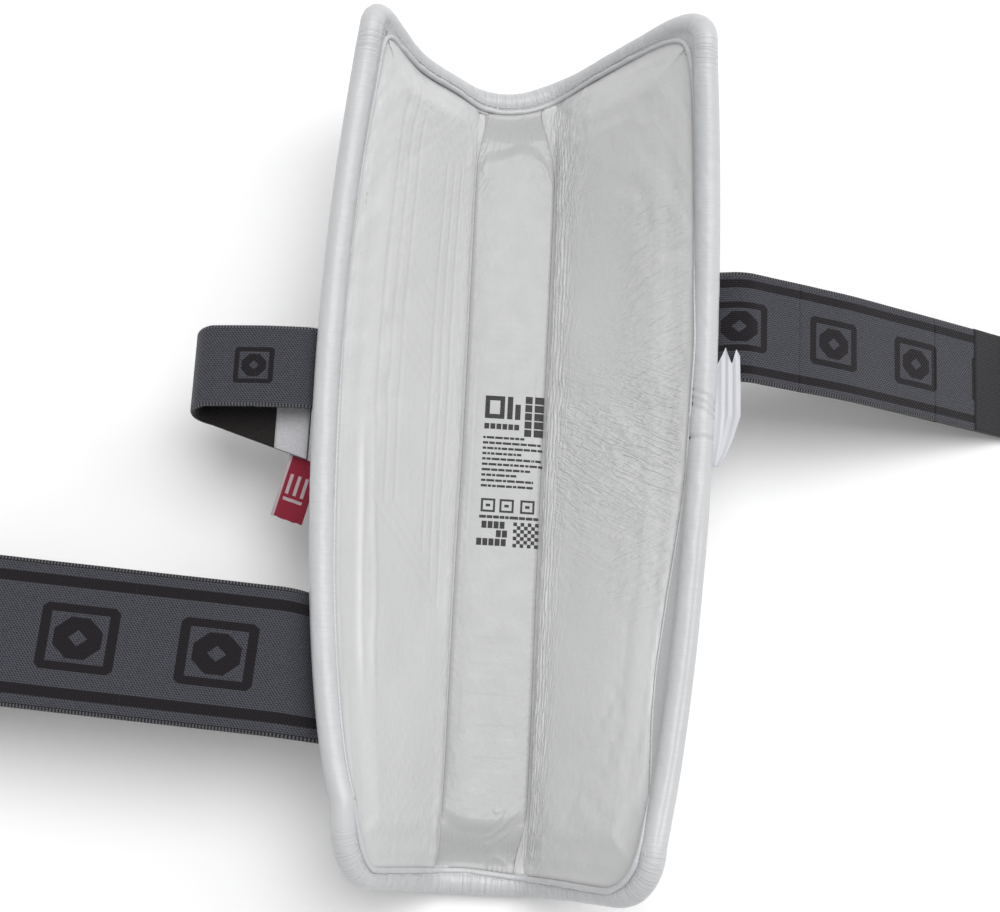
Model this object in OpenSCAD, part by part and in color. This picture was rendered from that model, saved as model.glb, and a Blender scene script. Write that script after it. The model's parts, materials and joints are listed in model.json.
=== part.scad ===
// Shin guard: a padded trough for the front of the lower leg, closed by two elastic straps.
// It lies on the outer face of its ridge with the hollow side up. +Y is the knee end, +X is
// the wearer's side that carries the narrow strap, and z = 0 is the flat of the ridge.

/* [Shell outline] */
// Length from the ankle end to the knee end, over the edge roll
pad_length = 304; // [240:2:360]
// Half width of the flat ridge and of the centre lining panel
ridge_half_w = 15.5; // [12:0.5:20]
// Half width of the outer face at the ankle end, left side
ankle_left_w = 50; // [42:0.5:56]
// Half width of the outer face at the ankle end, right side
ankle_right_w = 54.5; // [42:0.5:56]
// Half width of the outer face at mid length, left side
middle_left_w = 64; // [58:0.5:72]
// Half width of the outer face at mid length, right side
middle_right_w = 66.5; // [58:0.5:72]
// Half width of the outer face at the knee end, left side
knee_left_w = 58; // [48:0.5:66]
// Half width of the outer face at the knee end, right side
knee_right_w = 62.5; // [48:0.5:66]
// Rise of the outer face at the ankle end
ankle_rise = 52.5; // [44:0.5:64]
// Rise of the outer face at mid length
middle_rise = 50.5; // [44:0.5:64]
// Rise of the outer face at the knee end, left side
knee_left_rise = 61; // [50:0.5:76]
// Rise of the outer face at the knee end, right side
knee_right_rise = 73; // [50:0.5:76]
// Curvature of the wings, where 1 is a flat wing
wing_bend = 1.12; // [1.05:0.01:1.3]
// How far the knee end's left tip stands beyond its middle
knee_left_reach = 6.5; // [0:0.5:8]
// How far the knee end's right tip stands beyond its middle
knee_right_reach = 5.5; // [0:0.5:8]
// How far the knee end sags between its middle and its left tip
knee_left_sag = 6; // [0:0.5:8]
// How far the knee end swells between its middle and its right tip
knee_right_swell = 2; // [0:0.5:4]
// How far the right end of the ridge stands beyond the left one, at the knee
knee_ridge_tilt = 5.5; // [0:0.5:8]
// How far the knee end sags in the middle of the ridge
knee_ridge_sag = 3; // [0:0.5:5]
// How far the ankle end's right tip stands beyond its middle
ankle_right_reach = 3; // [0:0.5:6]
// Corner radius at the knee end, left side
knee_left_corner = 4; // [3:1:14]
// Corner radius at the knee end, right side
knee_right_corner = 6; // [3:1:14]
// Corner radius at the ankle end, left side
ankle_left_corner = 20; // [3:1:24]
// Corner radius at the ankle end, right side
ankle_right_corner = 12; // [3:1:24]

/* [Layers] */
// Thickness of the outer cover
cover_t = 1.2; // [0.8:0.1:2]
// Thickness of the foam core under the ridge
core_t = 6; // [4:0.5:9]
// Thickness of the foam core at the rim
core_rim_t = 3.2; // [2:0.2:5]
// Thickness of the soft pads
soft_t = 3.2; // [2:0.2:6]
// Thickness of the soft pads at the rim
soft_rim_t = 1.1; // [0.8:0.1:2]
// Thickness of the lining
lining_t = 0.9; // [0.6:0.1:1.5]
// Distance over which the layers thin towards the rim
taper_w = 16; // [10:1:30]
// Radius of the padded edge roll
roll_r = 4.4; // [3.6:0.1:6]
// Thickness of the edge binding
binding_t = 1; // [0.6:0.1:1.6]
// Radius of the piping bead
piping_r = 0.8; // [0.5:0.1:1.4]

/* [Straps] */
// Width of the ankle strap
lower_w = 50; // [40:1:60]
// Width of the knee strap
upper_w = 40; // [30:1:50]
// Thickness of the elastic band
band_t = 1.8; // [1.2:0.1:3]
// Place of the ankle strap along the pad
lower_y = -82; // [-95:1:-60]
// Place of the knee strap along the pad
upper_y = 46; // [44:0.5:60]
// Slant of the ankle strap towards the knee end, in degrees
lower_slant = 3.5; // [0:0.5:8]
// Length of the ankle strap's first run
lower_run = 104; // [60:1:130]
// Length of the knee strap's first run
upper_run = 45; // [40:1:80]
// Droop of the ankle strap's first run, in degrees
lower_droop = 2; // [0:1:10]
// Droop of the knee strap's first run, in degrees
upper_droop = 22; // [0:1:26]
// Fall of the ankle strap's second run, in degrees
lower_fall = 50; // [35:1:70]
// Fall of the knee strap's second run, in degrees
upper_fall = 28; // [28:1:60]
// Length of each hook tab
tab_l = 60; // [45:1:75]
// Thickness of the hook field on a tab
hook_t = 1.2; // [0.8:0.1:2]

/* [Side loop] */
// Width of the side loop's band
loop_w = 29; // [24:1:32]
// Place of the side loop along the pad
loop_y = 21.5; // [18:0.5:24]
// Reach of the side loop beyond its hinge
loop_reach = 36; // [28:1:48]
// Radius of the side loop's fold, to the middle of the band
loop_fold_r = 5.5; // [4.5:0.5:8]
// Shift of the returning half towards the ankle end
loop_skew = 16; // [6:1:18]
// Width of the woven label
label_w = 11.5; // [10:0.5:26]
// Length of the woven label
label_l = 20; // [15:1:26]
// Turn of the woven label in its own plane, in degrees
label_turn = 16; // [10:1:30]

/* [Edge tab] */
// Length of the edge tab along the rim
edge_tab_l = 43; // [30:1:46]
// Reach of the edge tab beyond the roll
edge_tab_reach = 8; // [5:0.5:8]

/* [Hidden] */

LEFT = -1;
RIGHT = 1;
rim_t = cover_t + core_rim_t + soft_rim_t + lining_t;
roll_shift = sqrt(roll_r * roll_r - pow(rim_t - roll_r, 2));
half_l = pad_length / 2 - roll_shift - roll_r;
gap = 0.35;            // clearance of the landing patches from the cover
root_gap = 0.6;        // clearance of the sewn roots from the cover
roll_gap = 0.12;       // clearance of the edge roll from the layers that it closes
piping_lift = 0.5;     // clearance of the piping bead from the lining
hinge_gap = 1.8;       // bare length on each side of a strap's hinge line
thread_r = 0.35;
thread_lift = 0.75;    // height of a seam thread's middle above the lining
tip_power = 2;
end_power = 4;         // how quickly an end's outline fades towards mid length
corner_zone = 0.2;     // share of a wing's width that its corner arc takes
lean_power = 0.7;      // how fast the layers' stacking direction leans over on a wing
wing_core_share = 0.78; // the core's thickness beside the rim's taper, as a share of core_t
wing_face_w = 70;      // width of a wing, measured along its face

// Rows run from the ankle end to the knee end and crowd towards both ends.
row_count = 16;
rows = [for (i = [-row_count / 2:row_count / 2]) sin(180 * i / row_count)];

// Columns run from the left rim to the right rim. Each is [side, place], where the side is 0
// on the ridge. On a wing the place runs from 0 at the ridge to 1 at the rim.
wing_places = [1, 1 - 0.134 * corner_zone, 1 - 0.5 * corner_zone, 1 - corner_zone,
               0.72, 0.54, 0.36, 0.18, 0];
wing_n = len(wing_places);
columns = concat([for (t = wing_places) [LEFT, t]],
                 [[0, -0.4], [0, 0.4]],
                 [for (i = [wing_n - 1:-1:0]) [RIGHT, wing_places[i]]]);
first_seam = wing_n - 1;
second_seam = wing_n + 2;
last_column = len(columns) - 1;

function lerp(a, b, t) = a + (b - a) * t;
function clamp01(t) = min(1, max(0, t));
function unit(p) = p / norm(p);
function through(ankle, middle, knee, v) =
    middle + v * (knee - ankle) / 2 + v * v * ((ankle + knee) / 2 - middle);
function half_width(side, v) = side == LEFT
    ? through(ankle_left_w, middle_left_w, knee_left_w, v)
    : through(ankle_right_w, middle_right_w, knee_right_w, v);
function rise(side, v) = side == LEFT
    ? through(ankle_rise, middle_rise, knee_left_rise, v)
    : through(ankle_rise, middle_rise, knee_right_rise, v);
function rim_slope(side, v) = atan2(rise(side, v) * wing_bend, half_width(side, v) - ridge_half_w);

// How far an end's outline stands beyond its straight line at one place across: the tips
// reach out, and each corner is an arc.
function corner_pull(t, r) =
    let (e = clamp01((1 - t) / corner_zone)) r * (1 - sqrt(1 - pow(1 - e, 2)));
function end_reach(side, t, v) =
    side == 0 ? (v < 0 ? 0 : knee_ridge_tilt * (1 + t) / 2 - knee_ridge_sag * (1 - t * t))
    : v < 0 && side == LEFT ? -corner_pull(t, ankle_left_corner)
    : v < 0 ? ankle_right_reach * pow(t, tip_power) - corner_pull(t, ankle_right_corner)
    : side == LEFT
        ? knee_left_reach * pow(t, tip_power) - knee_left_sag * sin(180 * t * t)
          - corner_pull(t, knee_left_corner)
    : knee_right_reach * pow(t, tip_power) + knee_right_swell * sin(180 * t)
      + knee_ridge_tilt * (1 - t) - corner_pull(t, knee_right_corner);
function length_at(side, t, v) = v * half_l + sign(v) * pow(v, end_power) * end_reach(side, t, v);

// A point of the outer face and the direction in which the layers stack on it.
function face_point(column, v) =
    let (side = column[0], t = column[1])
    side == 0 ? [t * ridge_half_w, length_at(side, t, v), 0]
    : [side * lerp(ridge_half_w, half_width(side, v), t), length_at(side, t, v),
       rise(side, v) * pow(t, wing_bend)];
function stack_dir(column, v) =
    let (side = column[0], t = column[1],
         lean = side == 0 ? 0 : rim_slope(side, v) * pow(t, lean_power))
    [-side * sin(lean), 0, cos(lean)];

// Thickness below each layer, from 0 at the rim to full away from it.
function fullness(column, v) =
    let (side_gap = column[0] == 0 ? taper_w : (1 - column[1]) * wing_face_w,
         end_gap = (1 - abs(v)) * half_l,
         f = clamp01(min(side_gap, end_gap) / taper_w))
    f * f * (3 - 2 * f);
function core_here(column, v) =
    let (t = column[0] == 0 ? 0 : column[1])
    lerp(core_rim_t, core_t * lerp(1, wing_core_share, t), fullness(column, v));
function soft_here(column, v) = lerp(soft_rim_t, soft_t, fullness(column, v));
function depth(column, v, level) = level == 0 ? 0
    : level == 1 ? cover_t
    : level == 2 ? cover_t + core_here(column, v)
    : level == 3 ? cover_t + core_here(column, v) + soft_here(column, v)
    : cover_t + core_here(column, v) + soft_here(column, v) + lining_t;
function layer_point(column, v, level) =
    face_point(column, v) + stack_dir(column, v) * depth(column, v, level);
function layer_grid(first, last, level) =
    [for (v = rows) [for (c = [first:last]) layer_point(columns[c], v, level)]];

// A closed solid between two grids of points that have the same shape.
module slab(low, high) {
    ni = len(low);
    nj = len(low[0]);
    n = ni * nj;
    quads = concat(
        [for (i = [0:ni - 2], j = [0:nj - 2])
            [i * nj + j, i * nj + j + 1, (i + 1) * nj + j + 1, (i + 1) * nj + j]],
        [for (i = [0:ni - 2], j = [0:nj - 2])
            [n + i * nj + j, n + (i + 1) * nj + j, n + (i + 1) * nj + j + 1, n + i * nj + j + 1]],
        [for (j = [0:nj - 2]) [j, n + j, n + j + 1, j + 1]],
        [for (j = [0:nj - 2]) let (a = (ni - 1) * nj + j) [a + 1, n + a + 1, n + a, a]],
        [for (i = [0:ni - 2]) [(i + 1) * nj, n + (i + 1) * nj, n + i * nj, i * nj]],
        [for (i = [0:ni - 2]) let (a = i * nj + nj - 1) [a, n + a, n + a + nj, a + nj]]);
    polyhedron(points = concat([for (r = low) each r], [for (r = high) each r]),
               faces = [for (q = quads) each [[q[0], q[1], q[2]], [q[0], q[2], q[3]]]],
               convexity = 8);
}

// A closed ring swept through sections that all have the same number of points. Each of its
// faces is cut along the diagonal from a section's point to the next section's next point, or
// along the other one, so that two rings can share a wall.
module ring(sections, other_diagonal = false) {
    n = len(sections);
    m = len(sections[0]);
    polyhedron(points = [for (s = sections) each s],
               faces = [for (i = [0:n - 1], j = [0:m - 1])
                   let (a = i * m + j, b = i * m + (j + 1) % m,
                        c = (i + 1) % n * m + (j + 1) % m, d = (i + 1) % n * m + j)
                   each other_diagonal ? [[a, b, d], [b, c, d]] : [[a, b, c], [a, c, d]]],
               convexity = 8);
}

// A rod swept through sections, closed at both ends.
module rod(sections) {
    n = len(sections);
    m = len(sections[0]);
    polyhedron(points = [for (s = sections) each s],
               faces = concat(
                   [for (i = [0:n - 2], j = [0:m - 1])
                       let (a = i * m + j, b = i * m + (j + 1) % m)
                       each [[a, b, b + m], [a, b + m, a + m]]],
                   [[for (j = [m - 1:-1:0]) j]],
                   [[for (j = [0:m - 1]) (n - 1) * m + j]]),
               convexity = 8);
}

// The rim, walked anticlockwise as seen from above: each station is [column, v].
last_row = len(rows) - 1;
rim = concat(
    [for (c = [0:last_column - 1]) [columns[c], rows[0]]],
    [for (r = [0:last_row - 1]) [columns[last_column], rows[r]]],
    [for (c = [last_column:-1:1]) [columns[c], rows[last_row]]],
    [for (r = [last_row:-1:1]) [columns[0], rows[r]]]);
rim_n = len(rim);
rim_low = [for (s = rim) layer_point(s[0], s[1], 0)];
rim_high = [for (s = rim) layer_point(s[0], s[1], 4)];
rim_middle = [for (i = [0:rim_n - 1]) (rim_low[i] + rim_high[i]) / 2];
rim_up = [for (i = [0:rim_n - 1]) unit(rim_high[i] - rim_low[i])];
rim_out = [for (i = [0:rim_n - 1])
    unit(cross(rim_middle[(i + 1) % rim_n] - rim_middle[(i + rim_n - 1) % rim_n], rim_up[i]))];

// Section of the edge roll at one station: flush with the outer face, round the outside and
// back to the lining.
roll_steps = 8;
roll_from = -90;
roll_to = 130;
function roll_section(i, r, top) =
    let (centre = rim_low[i] + rim_up[i] * roll_r + rim_out[i] * roll_shift)
    concat([centre - rim_out[i] * (roll_shift - roll_gap) - rim_up[i] * r],
           [for (k = [0:roll_steps])
               let (a = lerp(roll_from, roll_to, k / roll_steps))
               centre + rim_out[i] * (r * cos(a)) + rim_up[i] * (r * sin(a))],
           [centre - rim_out[i] * (roll_shift - roll_gap) + rim_up[i] * top]);
filler_r = roll_r - binding_t;
function outer_section(i) = roll_section(i, roll_r, rim_t - roll_r);
function inner_section(i) = roll_section(i, filler_r, rim_t - roll_r - binding_t);
function reversed(list) = [for (i = [len(list) - 1:-1:0]) list[i]];

// Centre of the roll's section beside a place along one side of the pad.
function roll_centre(side, y) =
    let (v = y / half_l, column = [side, 1], up = stack_dir(column, v))
    face_point(column, v) + up * roll_r + [side * up[2], 0, -side * up[0]] * roll_shift;

// Patch on the outer face, between two depths measured outwards from it.
function patch_grid(side, t0, t1, y0, y1, out, nt, ny) =
    [for (i = [0:nt]) [for (j = [0:ny])
        let (column = [side, lerp(t0, t1, i / nt)], v = lerp(y0, y1, j / ny) / half_l)
        face_point(column, v) - stack_dir(column, v) * out]];

// A hinge line beside the roll, so far from the roll's centre and so many degrees below it.
function hinge_at(side, y, reach, below) =
    roll_centre(side, y) + [side * cos(below), 0, -sin(below)] * reach;

strap_reach = 15.2;
strap_below = 20;
lower_hinge = hinge_at(LEFT, lower_y, strap_reach, strap_below);
upper_hinge = hinge_at(RIGHT, upper_y, strap_reach, strap_below);
loop_hinge_reach = 7;
loop_hinge_below = 32;
loop_hinge = hinge_at(LEFT, loop_y, loop_hinge_reach, loop_hinge_below);
tab_hinge_y = 15.7;
tab_hinge_gap = 0.9;       // from the roll's surface
tab_hinge_below = 7;
tab_hinge = hinge_at(RIGHT, tab_hinge_y, roll_r + tab_hinge_gap, tab_hinge_below);

// The second run ends where the band lies on the ground.
ground_gap = 0.05;
band_rest_z = band_t / 2 + ground_gap;
function run_end(start, run, droop, side) =
    start + [side * run * cos(droop), 0, -run * sin(droop)];
lower_bend = run_end(lower_hinge, lower_run, lower_droop, LEFT);
upper_bend = run_end(upper_hinge, upper_run, upper_droop, RIGHT);
lower_fall_l = (lower_bend[2] - band_rest_z) / sin(lower_fall);
upper_fall_l = (upper_bend[2] - band_rest_z) / sin(upper_fall);

// A flat strip along +X, lying in the plane z = 0 with its width along Y.
module strip(x0, x1, w, t) {
    translate([x0, -w / 2, -t / 2]) cube([x1 - x0, w, t]);
}
// Frames of a strap's pieces: +X runs away from the pad.
module lower_frame(run) {
    translate(lower_hinge) rotate([0, 0, 180 - lower_slant])
        translate([run * cos(lower_droop), 0, -run * sin(lower_droop)]) children();
}
module upper_frame(run) {
    translate(upper_hinge) translate([run * cos(upper_droop), 0, -run * sin(upper_droop)]) children();
}
module lower_tab_frame() {
    lower_frame(lower_run) translate([lower_fall_l * cos(lower_fall), 0, -lower_fall_l * sin(lower_fall)])
        children();
}
module upper_tab_frame() {
    upper_frame(upper_run) translate([upper_fall_l * cos(upper_fall), 0, -upper_fall_l * sin(upper_fall)])
        children();
}

// The sewn root of a strap: it follows the outer face and then crosses to the hinge line.
anchor_from = 0.66;
anchor_to = 0.9;
module anchor(side, y, w, hinge, slant) {
    steps = 3;
    across = 4;
    edge = [for (j = [0:across])
        let (s = lerp(-w / 2, w / 2, j / across))
        hinge + [-side * (hinge_gap + s * sin(slant)), s * cos(slant), 0]];
    y0 = y - w / 2;
    y1 = y + w / 2;
    near = concat(patch_grid(side, anchor_from, anchor_to, y0, y1, root_gap, steps, across),
                  [[for (p = edge) p + [0, 0, band_t / 2]]]);
    far = concat(patch_grid(side, anchor_from, anchor_to, y0, y1, root_gap + band_t, steps, across),
                 [[for (p = edge) p - [0, 0, band_t / 2]]]);
    if (side == RIGHT) slab(near, far);
    else slab(far, near);
}

module outer_cover() {
    color("whitesmoke") slab(layer_grid(0, last_column, 0), layer_grid(0, last_column, 1));
}
module impact_core() {
    color("lightsteelblue") slab(layer_grid(0, last_column, 1), layer_grid(0, last_column, 2));
}
module soft_pad(first, last) {
    color("lightyellow") slab(layer_grid(first, last, 2), layer_grid(first, last, 3));
}
module lining(first, last) {
    color("gainsboro") slab(layer_grid(first, last, 3), layer_grid(first, last, 4));
}
module edge_binding() {
    color("white") ring([for (i = [0:rim_n - 1])
        concat(outer_section(i), reversed(inner_section(i)))]);
}
module edge_filler() {
    color("ivory") ring([for (i = [0:rim_n - 1]) inner_section(i)], other_diagonal = true);
}
module edge_piping() {
    sides = 6;
    color("aliceblue") ring([for (i = [0:rim_n - 1])
        [for (k = [0:sides - 1])
            let (a = 360 * k / sides)
            rim_high[i] - rim_out[i] * (2 * piping_r - piping_r * cos(a))
            + rim_up[i] * (piping_lift + piping_r * (1 + sin(a)))]]);
}
module seam_thread(seam) {
    sides = 4;
    color("silver") rod([for (r = [1:last_row - 1])
        let (at = layer_point(columns[seam], rows[r], 4) + [0, 0, thread_lift])
        [for (k = [0:sides - 1]) at + thread_r * [cos(360 * k / sides), 0, -sin(360 * k / sides)]]]);
}

module lower_strap_anchor() {
    color("dimgray") anchor(LEFT, lower_y, lower_w, lower_hinge, lower_slant);
}
module lower_strap_band() {
    color("dimgray") lower_frame(0) rotate([0, lower_droop, 0])
        strip(hinge_gap, lower_run - hinge_gap, lower_w, band_t);
}
module lower_strap_end() {
    color("dimgray") lower_frame(lower_run) rotate([0, lower_fall, 0])
        strip(hinge_gap, lower_fall_l - hinge_gap, lower_w, band_t);
}
module lower_hook_tape() {
    color("darkslategray") lower_tab_frame() strip(hinge_gap, tab_l, lower_w, band_t);
}
module hooks(w) {
    border = 2;
    color("black") translate([0, 0, (band_t + hook_t) / 2])
        strip(hinge_gap + border, tab_l - border, w - 2 * border, hook_t);
}
module lower_hooks() {
    lower_tab_frame() hooks(lower_w);
}

module upper_strap_anchor() {
    color("dimgray") anchor(RIGHT, upper_y, upper_w, upper_hinge, 0);
}
module upper_strap_band() {
    color("dimgray") upper_frame(0) rotate([0, upper_droop, 0])
        strip(hinge_gap, upper_run - hinge_gap, upper_w, band_t);
}
module upper_strap_end() {
    color("dimgray") upper_frame(upper_run) rotate([0, upper_fall, 0])
        strip(hinge_gap, upper_fall_l - hinge_gap, upper_w, band_t);
}
module upper_hook_tape() {
    color("darkslategray") upper_tab_frame() strip(hinge_gap, tab_l, upper_w, band_t);
}
module upper_hooks() {
    upper_tab_frame() hooks(upper_w);
}

// The side loop's middle line in its own plane: out, round the fold and back under itself.
// Each station is [distance out, height, heading, share of the way round].
loop_fold_steps = 8;
loop_back = loop_reach - 1;
loop_droop = 8;
loop_turn = 183;
function loop_line() =
    let (x1 = loop_reach * cos(loop_droop), z1 = -loop_reach * sin(loop_droop),
         cx = x1 - loop_fold_r * sin(loop_droop), cz = z1 - loop_fold_r * cos(loop_droop),
         last = -loop_droop - loop_turn)
    concat([[hinge_gap, -hinge_gap * sin(loop_droop), -loop_droop]],
           [for (k = [0:loop_fold_steps])
               let (h = -loop_droop - loop_turn * k / loop_fold_steps)
               [cx - loop_fold_r * sin(h), cz + loop_fold_r * cos(h), h]],
           [let (sx = cx - loop_fold_r * sin(last), sz = cz + loop_fold_r * cos(last))
               [sx + loop_back * cos(last), sz + loop_back * sin(last), last]]);
loop_path = loop_line();
loop_last = len(loop_path) - 1;
function loop_edge(station, share, out) =
    [for (j = [LEFT, RIGHT])
        let (h = station[2])
        loop_hinge + [-station[0] + out * sin(h), j * loop_w / 2 - share * loop_skew,
                      station[1] + out * cos(h)]];
fold_skew = 0.25;      // share of the skew that the fold takes
loop_shares = [for (i = [0:loop_last])
    i == 0 ? 0 : i == loop_last ? 1 : fold_skew * (i - 1) / loop_fold_steps];
module side_loop_anchor() {
    color("dimgray") anchor(LEFT, loop_y, loop_w, loop_hinge, 0);
}
module side_loop_band() {
    color("dimgray") slab(
        [for (i = [0:loop_last]) loop_edge(loop_path[i], loop_shares[i], band_t / 2)],
        [for (i = [0:loop_last]) loop_edge(loop_path[i], loop_shares[i], -band_t / 2)]);
}
facing_t = 0.9;
facing_from = 0.7;    // where the facing starts, as a share of the returning half
function mix(a, b, t) = [for (i = [0:len(a) - 1]) lerp(a[i], b[i], t)];
module side_loop_facing() {
    start = mix(loop_path[loop_last - 1], loop_path[loop_last], facing_from);
    start_share = lerp(loop_shares[loop_last - 1], 1, facing_from);
    ends = [[start, start_share], [loop_path[loop_last], 1]];
    color("white") slab([for (e = ends) loop_edge(e[0], e[1], -band_t / 2)],
                        [for (e = ends) loop_edge(e[0], e[1], -band_t / 2 - facing_t)]);
}

// The label hangs beside the returning half's ankle edge, from the middle of its upper edge.
label_t = 0.8;
label_hang = 20;
label_from = 0.55;     // where the label starts, as a share of the returning half
label_skew_share = 0.8;   // share of the loop's skew where the label starts
label_shift = [14.3, -4.5, -0.5];
label_start = mix(loop_path[loop_last - 1], loop_path[loop_last], label_from);
label_root = loop_edge(label_start, label_skew_share, 0)[0] + label_shift;
label_lap = 0.6;
module woven_label() {
    color("crimson") translate(label_root) rotate([0, 0, -label_turn]) rotate([label_hang, 0, 0])
        translate([-label_w / 2, -label_l, -label_t / 2]) cube([label_w, label_l - label_lap, label_t]);
}

// The edge tab is a doubled flap. Its outer edge ends in two points over the knee strap's root,
// and it runs out to nothing at the ankle side.
edge_tab_t = 0.8;
edge_tab_rise = 10;
edge_tab_from = 0.5;
module edge_tab() {
    l = edge_tab_l / 2;
    r = edge_tab_reach;
    color("white") translate(tab_hinge) rotate([0, -edge_tab_rise, 0])
        linear_extrude(edge_tab_t, center = true)
            polygon([[edge_tab_from, -l], [0.42 * r, -0.8 * l], [r, -0.15 * l], [0.9 * r, 0.93 * l],
                     [0.66 * r, 0.74 * l], [0.42 * r, l], [edge_tab_from, l / 2]]);
}

// Loop-pile patches that the hook tabs grip when the straps are closed.
patch_t = 1.4;
patch_from = 0.2;
patch_to = 0.56;
patch_steps = 4;
upper_patch_y = upper_y + 8;   // the knee strap comes round on a slant
module landing_patch(side, y, w) {
    low = y - w / 2;
    high = y + w / 2;
    near = patch_grid(side, patch_from, patch_to, low, high, gap, patch_steps, patch_steps);
    far = patch_grid(side, patch_from, patch_to, low, high, gap + patch_t, patch_steps, patch_steps);
    color("lightgray") if (side == RIGHT) slab(near, far);
    else slab(far, near);
}

outer_cover();
impact_core();
soft_pad(0, first_seam);  // soft_pad_left
soft_pad(first_seam, second_seam);  // soft_pad_centre
soft_pad(second_seam, last_column);  // soft_pad_right
lining(0, first_seam);  // lining_left
lining(first_seam, second_seam);  // lining_centre
lining(second_seam, last_column);  // lining_right
edge_binding();
edge_filler();
edge_piping();
seam_thread(first_seam);  // seam_thread_left
seam_thread(second_seam);  // seam_thread_right
lower_strap_anchor();
lower_strap_band();
lower_strap_end();
lower_hook_tape();
lower_hooks();
upper_strap_anchor();
upper_strap_band();
upper_strap_end();
upper_hook_tape();
upper_hooks();
side_loop_anchor();
side_loop_band();
side_loop_facing();
woven_label();
edge_tab();
landing_patch(RIGHT, lower_y, lower_w);  // lower_landing_patch
landing_patch(LEFT, upper_patch_y, upper_w);  // upper_landing_patch
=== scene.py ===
"""Shin guard seen from its hollow side: the looks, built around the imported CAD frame.

Lengths below are millimetres in the part's own frame unless a name says metres. The surface
functions repeat the part's outline, so every soft piece lies where its CAD solid lies.
"""

import json
import math

import bpy
import numpy as np
from mathutils import Matrix, Vector


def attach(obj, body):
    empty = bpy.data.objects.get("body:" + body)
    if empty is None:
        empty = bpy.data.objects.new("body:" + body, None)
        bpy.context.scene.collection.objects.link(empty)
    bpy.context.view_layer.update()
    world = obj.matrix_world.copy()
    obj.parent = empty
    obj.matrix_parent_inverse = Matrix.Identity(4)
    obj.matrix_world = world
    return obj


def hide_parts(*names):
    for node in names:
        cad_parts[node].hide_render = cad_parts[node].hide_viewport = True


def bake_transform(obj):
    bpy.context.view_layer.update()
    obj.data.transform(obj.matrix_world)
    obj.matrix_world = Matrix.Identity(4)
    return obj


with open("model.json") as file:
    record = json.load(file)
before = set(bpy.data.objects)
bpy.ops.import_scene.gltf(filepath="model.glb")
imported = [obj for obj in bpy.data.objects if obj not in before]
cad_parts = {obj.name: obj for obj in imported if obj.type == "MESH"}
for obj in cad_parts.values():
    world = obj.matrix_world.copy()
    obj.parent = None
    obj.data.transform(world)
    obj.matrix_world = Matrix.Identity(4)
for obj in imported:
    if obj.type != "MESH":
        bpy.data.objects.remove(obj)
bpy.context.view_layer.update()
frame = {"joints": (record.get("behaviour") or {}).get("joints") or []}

MM = 0.001
LEFT, RIGHT = -1, 1

# Outline of the outer face, ankle, middle and knee, left and right
RIDGE = 15.5
WIDTH = {LEFT: (50, 64, 58), RIGHT: (54.5, 66.5, 62.5)}
RISE = {LEFT: (52.5, 50.5, 61), RIGHT: (52.5, 50.5, 73)}
WING_BEND = 1.12
WING_FACE = 70
CORNER = {(LEFT, -1): 20, (RIGHT, -1): 12, (LEFT, 1): 4, (RIGHT, 1): 6}
CORNER_ZONE = 0.2
KNEE_REACH = {LEFT: 6.5, RIGHT: 5.5}
KNEE_SAG, KNEE_SWELL = 6, 2
KNEE_TILT, RIDGE_SAG = 5.5, 3
ANKLE_REACH = 3

# Layers and edge roll
COVER_T, CORE_T, CORE_RIM_T = 1.2, 6, 3.2
SOFT_T, SOFT_RIM_T, LINING_T = 3.2, 1.1, 0.9
TAPER, LEAN, CORE_SHARE = 16, 0.7, 0.78
ROLL_R = 4.4
RIM_T = COVER_T + CORE_RIM_T + SOFT_RIM_T + LINING_T
ROLL_SHIFT = math.sqrt(ROLL_R**2 - (RIM_T - ROLL_R) ** 2)
HALF_L = 304 / 2 - ROLL_SHIFT - ROLL_R

# The lining's panels are modelled a little thinner than their solids
PANEL_T = 0.8 * LINING_T

# Straps: thickness, length of a hook tab, and the gap under a sewn root
BAND_T = 1.8
TAB_L = 60
ROOT_GAP = 0.35
ROW = 1.3  # spacing of the rows along a band

JOINTS = {j["name"]: j for j in frame["joints"]}
X, Y, Z = np.eye(3)


def joint_mm(name):
    """A joint's place in millimetres."""
    return np.array(JOINTS[name]["pos_m"]) / MM


# ---------------------------------------------------------------- surface


def through(three, v):
    """A curve through three values, at the ankle end, the middle and the knee end."""
    ankle, middle, knee = three
    return middle + v * (knee - ankle) / 2 + v * v * ((ankle + knee) / 2 - middle)


def by_side(s, left, right):
    return np.where(s < 0, left, right)


def corner_pull(t, r):
    """How far a corner's arc draws the end's outline back."""
    e = np.clip((1 - t) / CORNER_ZONE, 0, 1)
    return r * (1 - np.sqrt(1 - (1 - e) ** 2))


def end_reach(s, v):
    """How far the end's outline stands beyond its straight line."""
    across, t = np.clip(s, -1, 1), np.clip(np.abs(s) - 1, 0, 1)
    ridge = KNEE_TILT * (1 + across) / 2 - RIDGE_SAG * (1 - across**2)
    left = KNEE_REACH[LEFT] * t**2 - KNEE_SAG * np.sin(np.pi * t * t)
    left = left - corner_pull(t, CORNER[LEFT, 1])
    right = KNEE_REACH[RIGHT] * t**2 + KNEE_SWELL * np.sin(np.pi * t) + KNEE_TILT * (1 - t)
    right = right - corner_pull(t, CORNER[RIGHT, 1])
    knee = np.where(np.abs(s) <= 1, ridge, by_side(s, left, right))
    ankle = by_side(s, 0, ANKLE_REACH) * t**2
    ankle = ankle - corner_pull(t, by_side(s, CORNER[LEFT, -1], CORNER[RIGHT, -1]))
    return np.where(v < 0, np.where(np.abs(s) <= 1, 0, ankle), knee)


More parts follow.
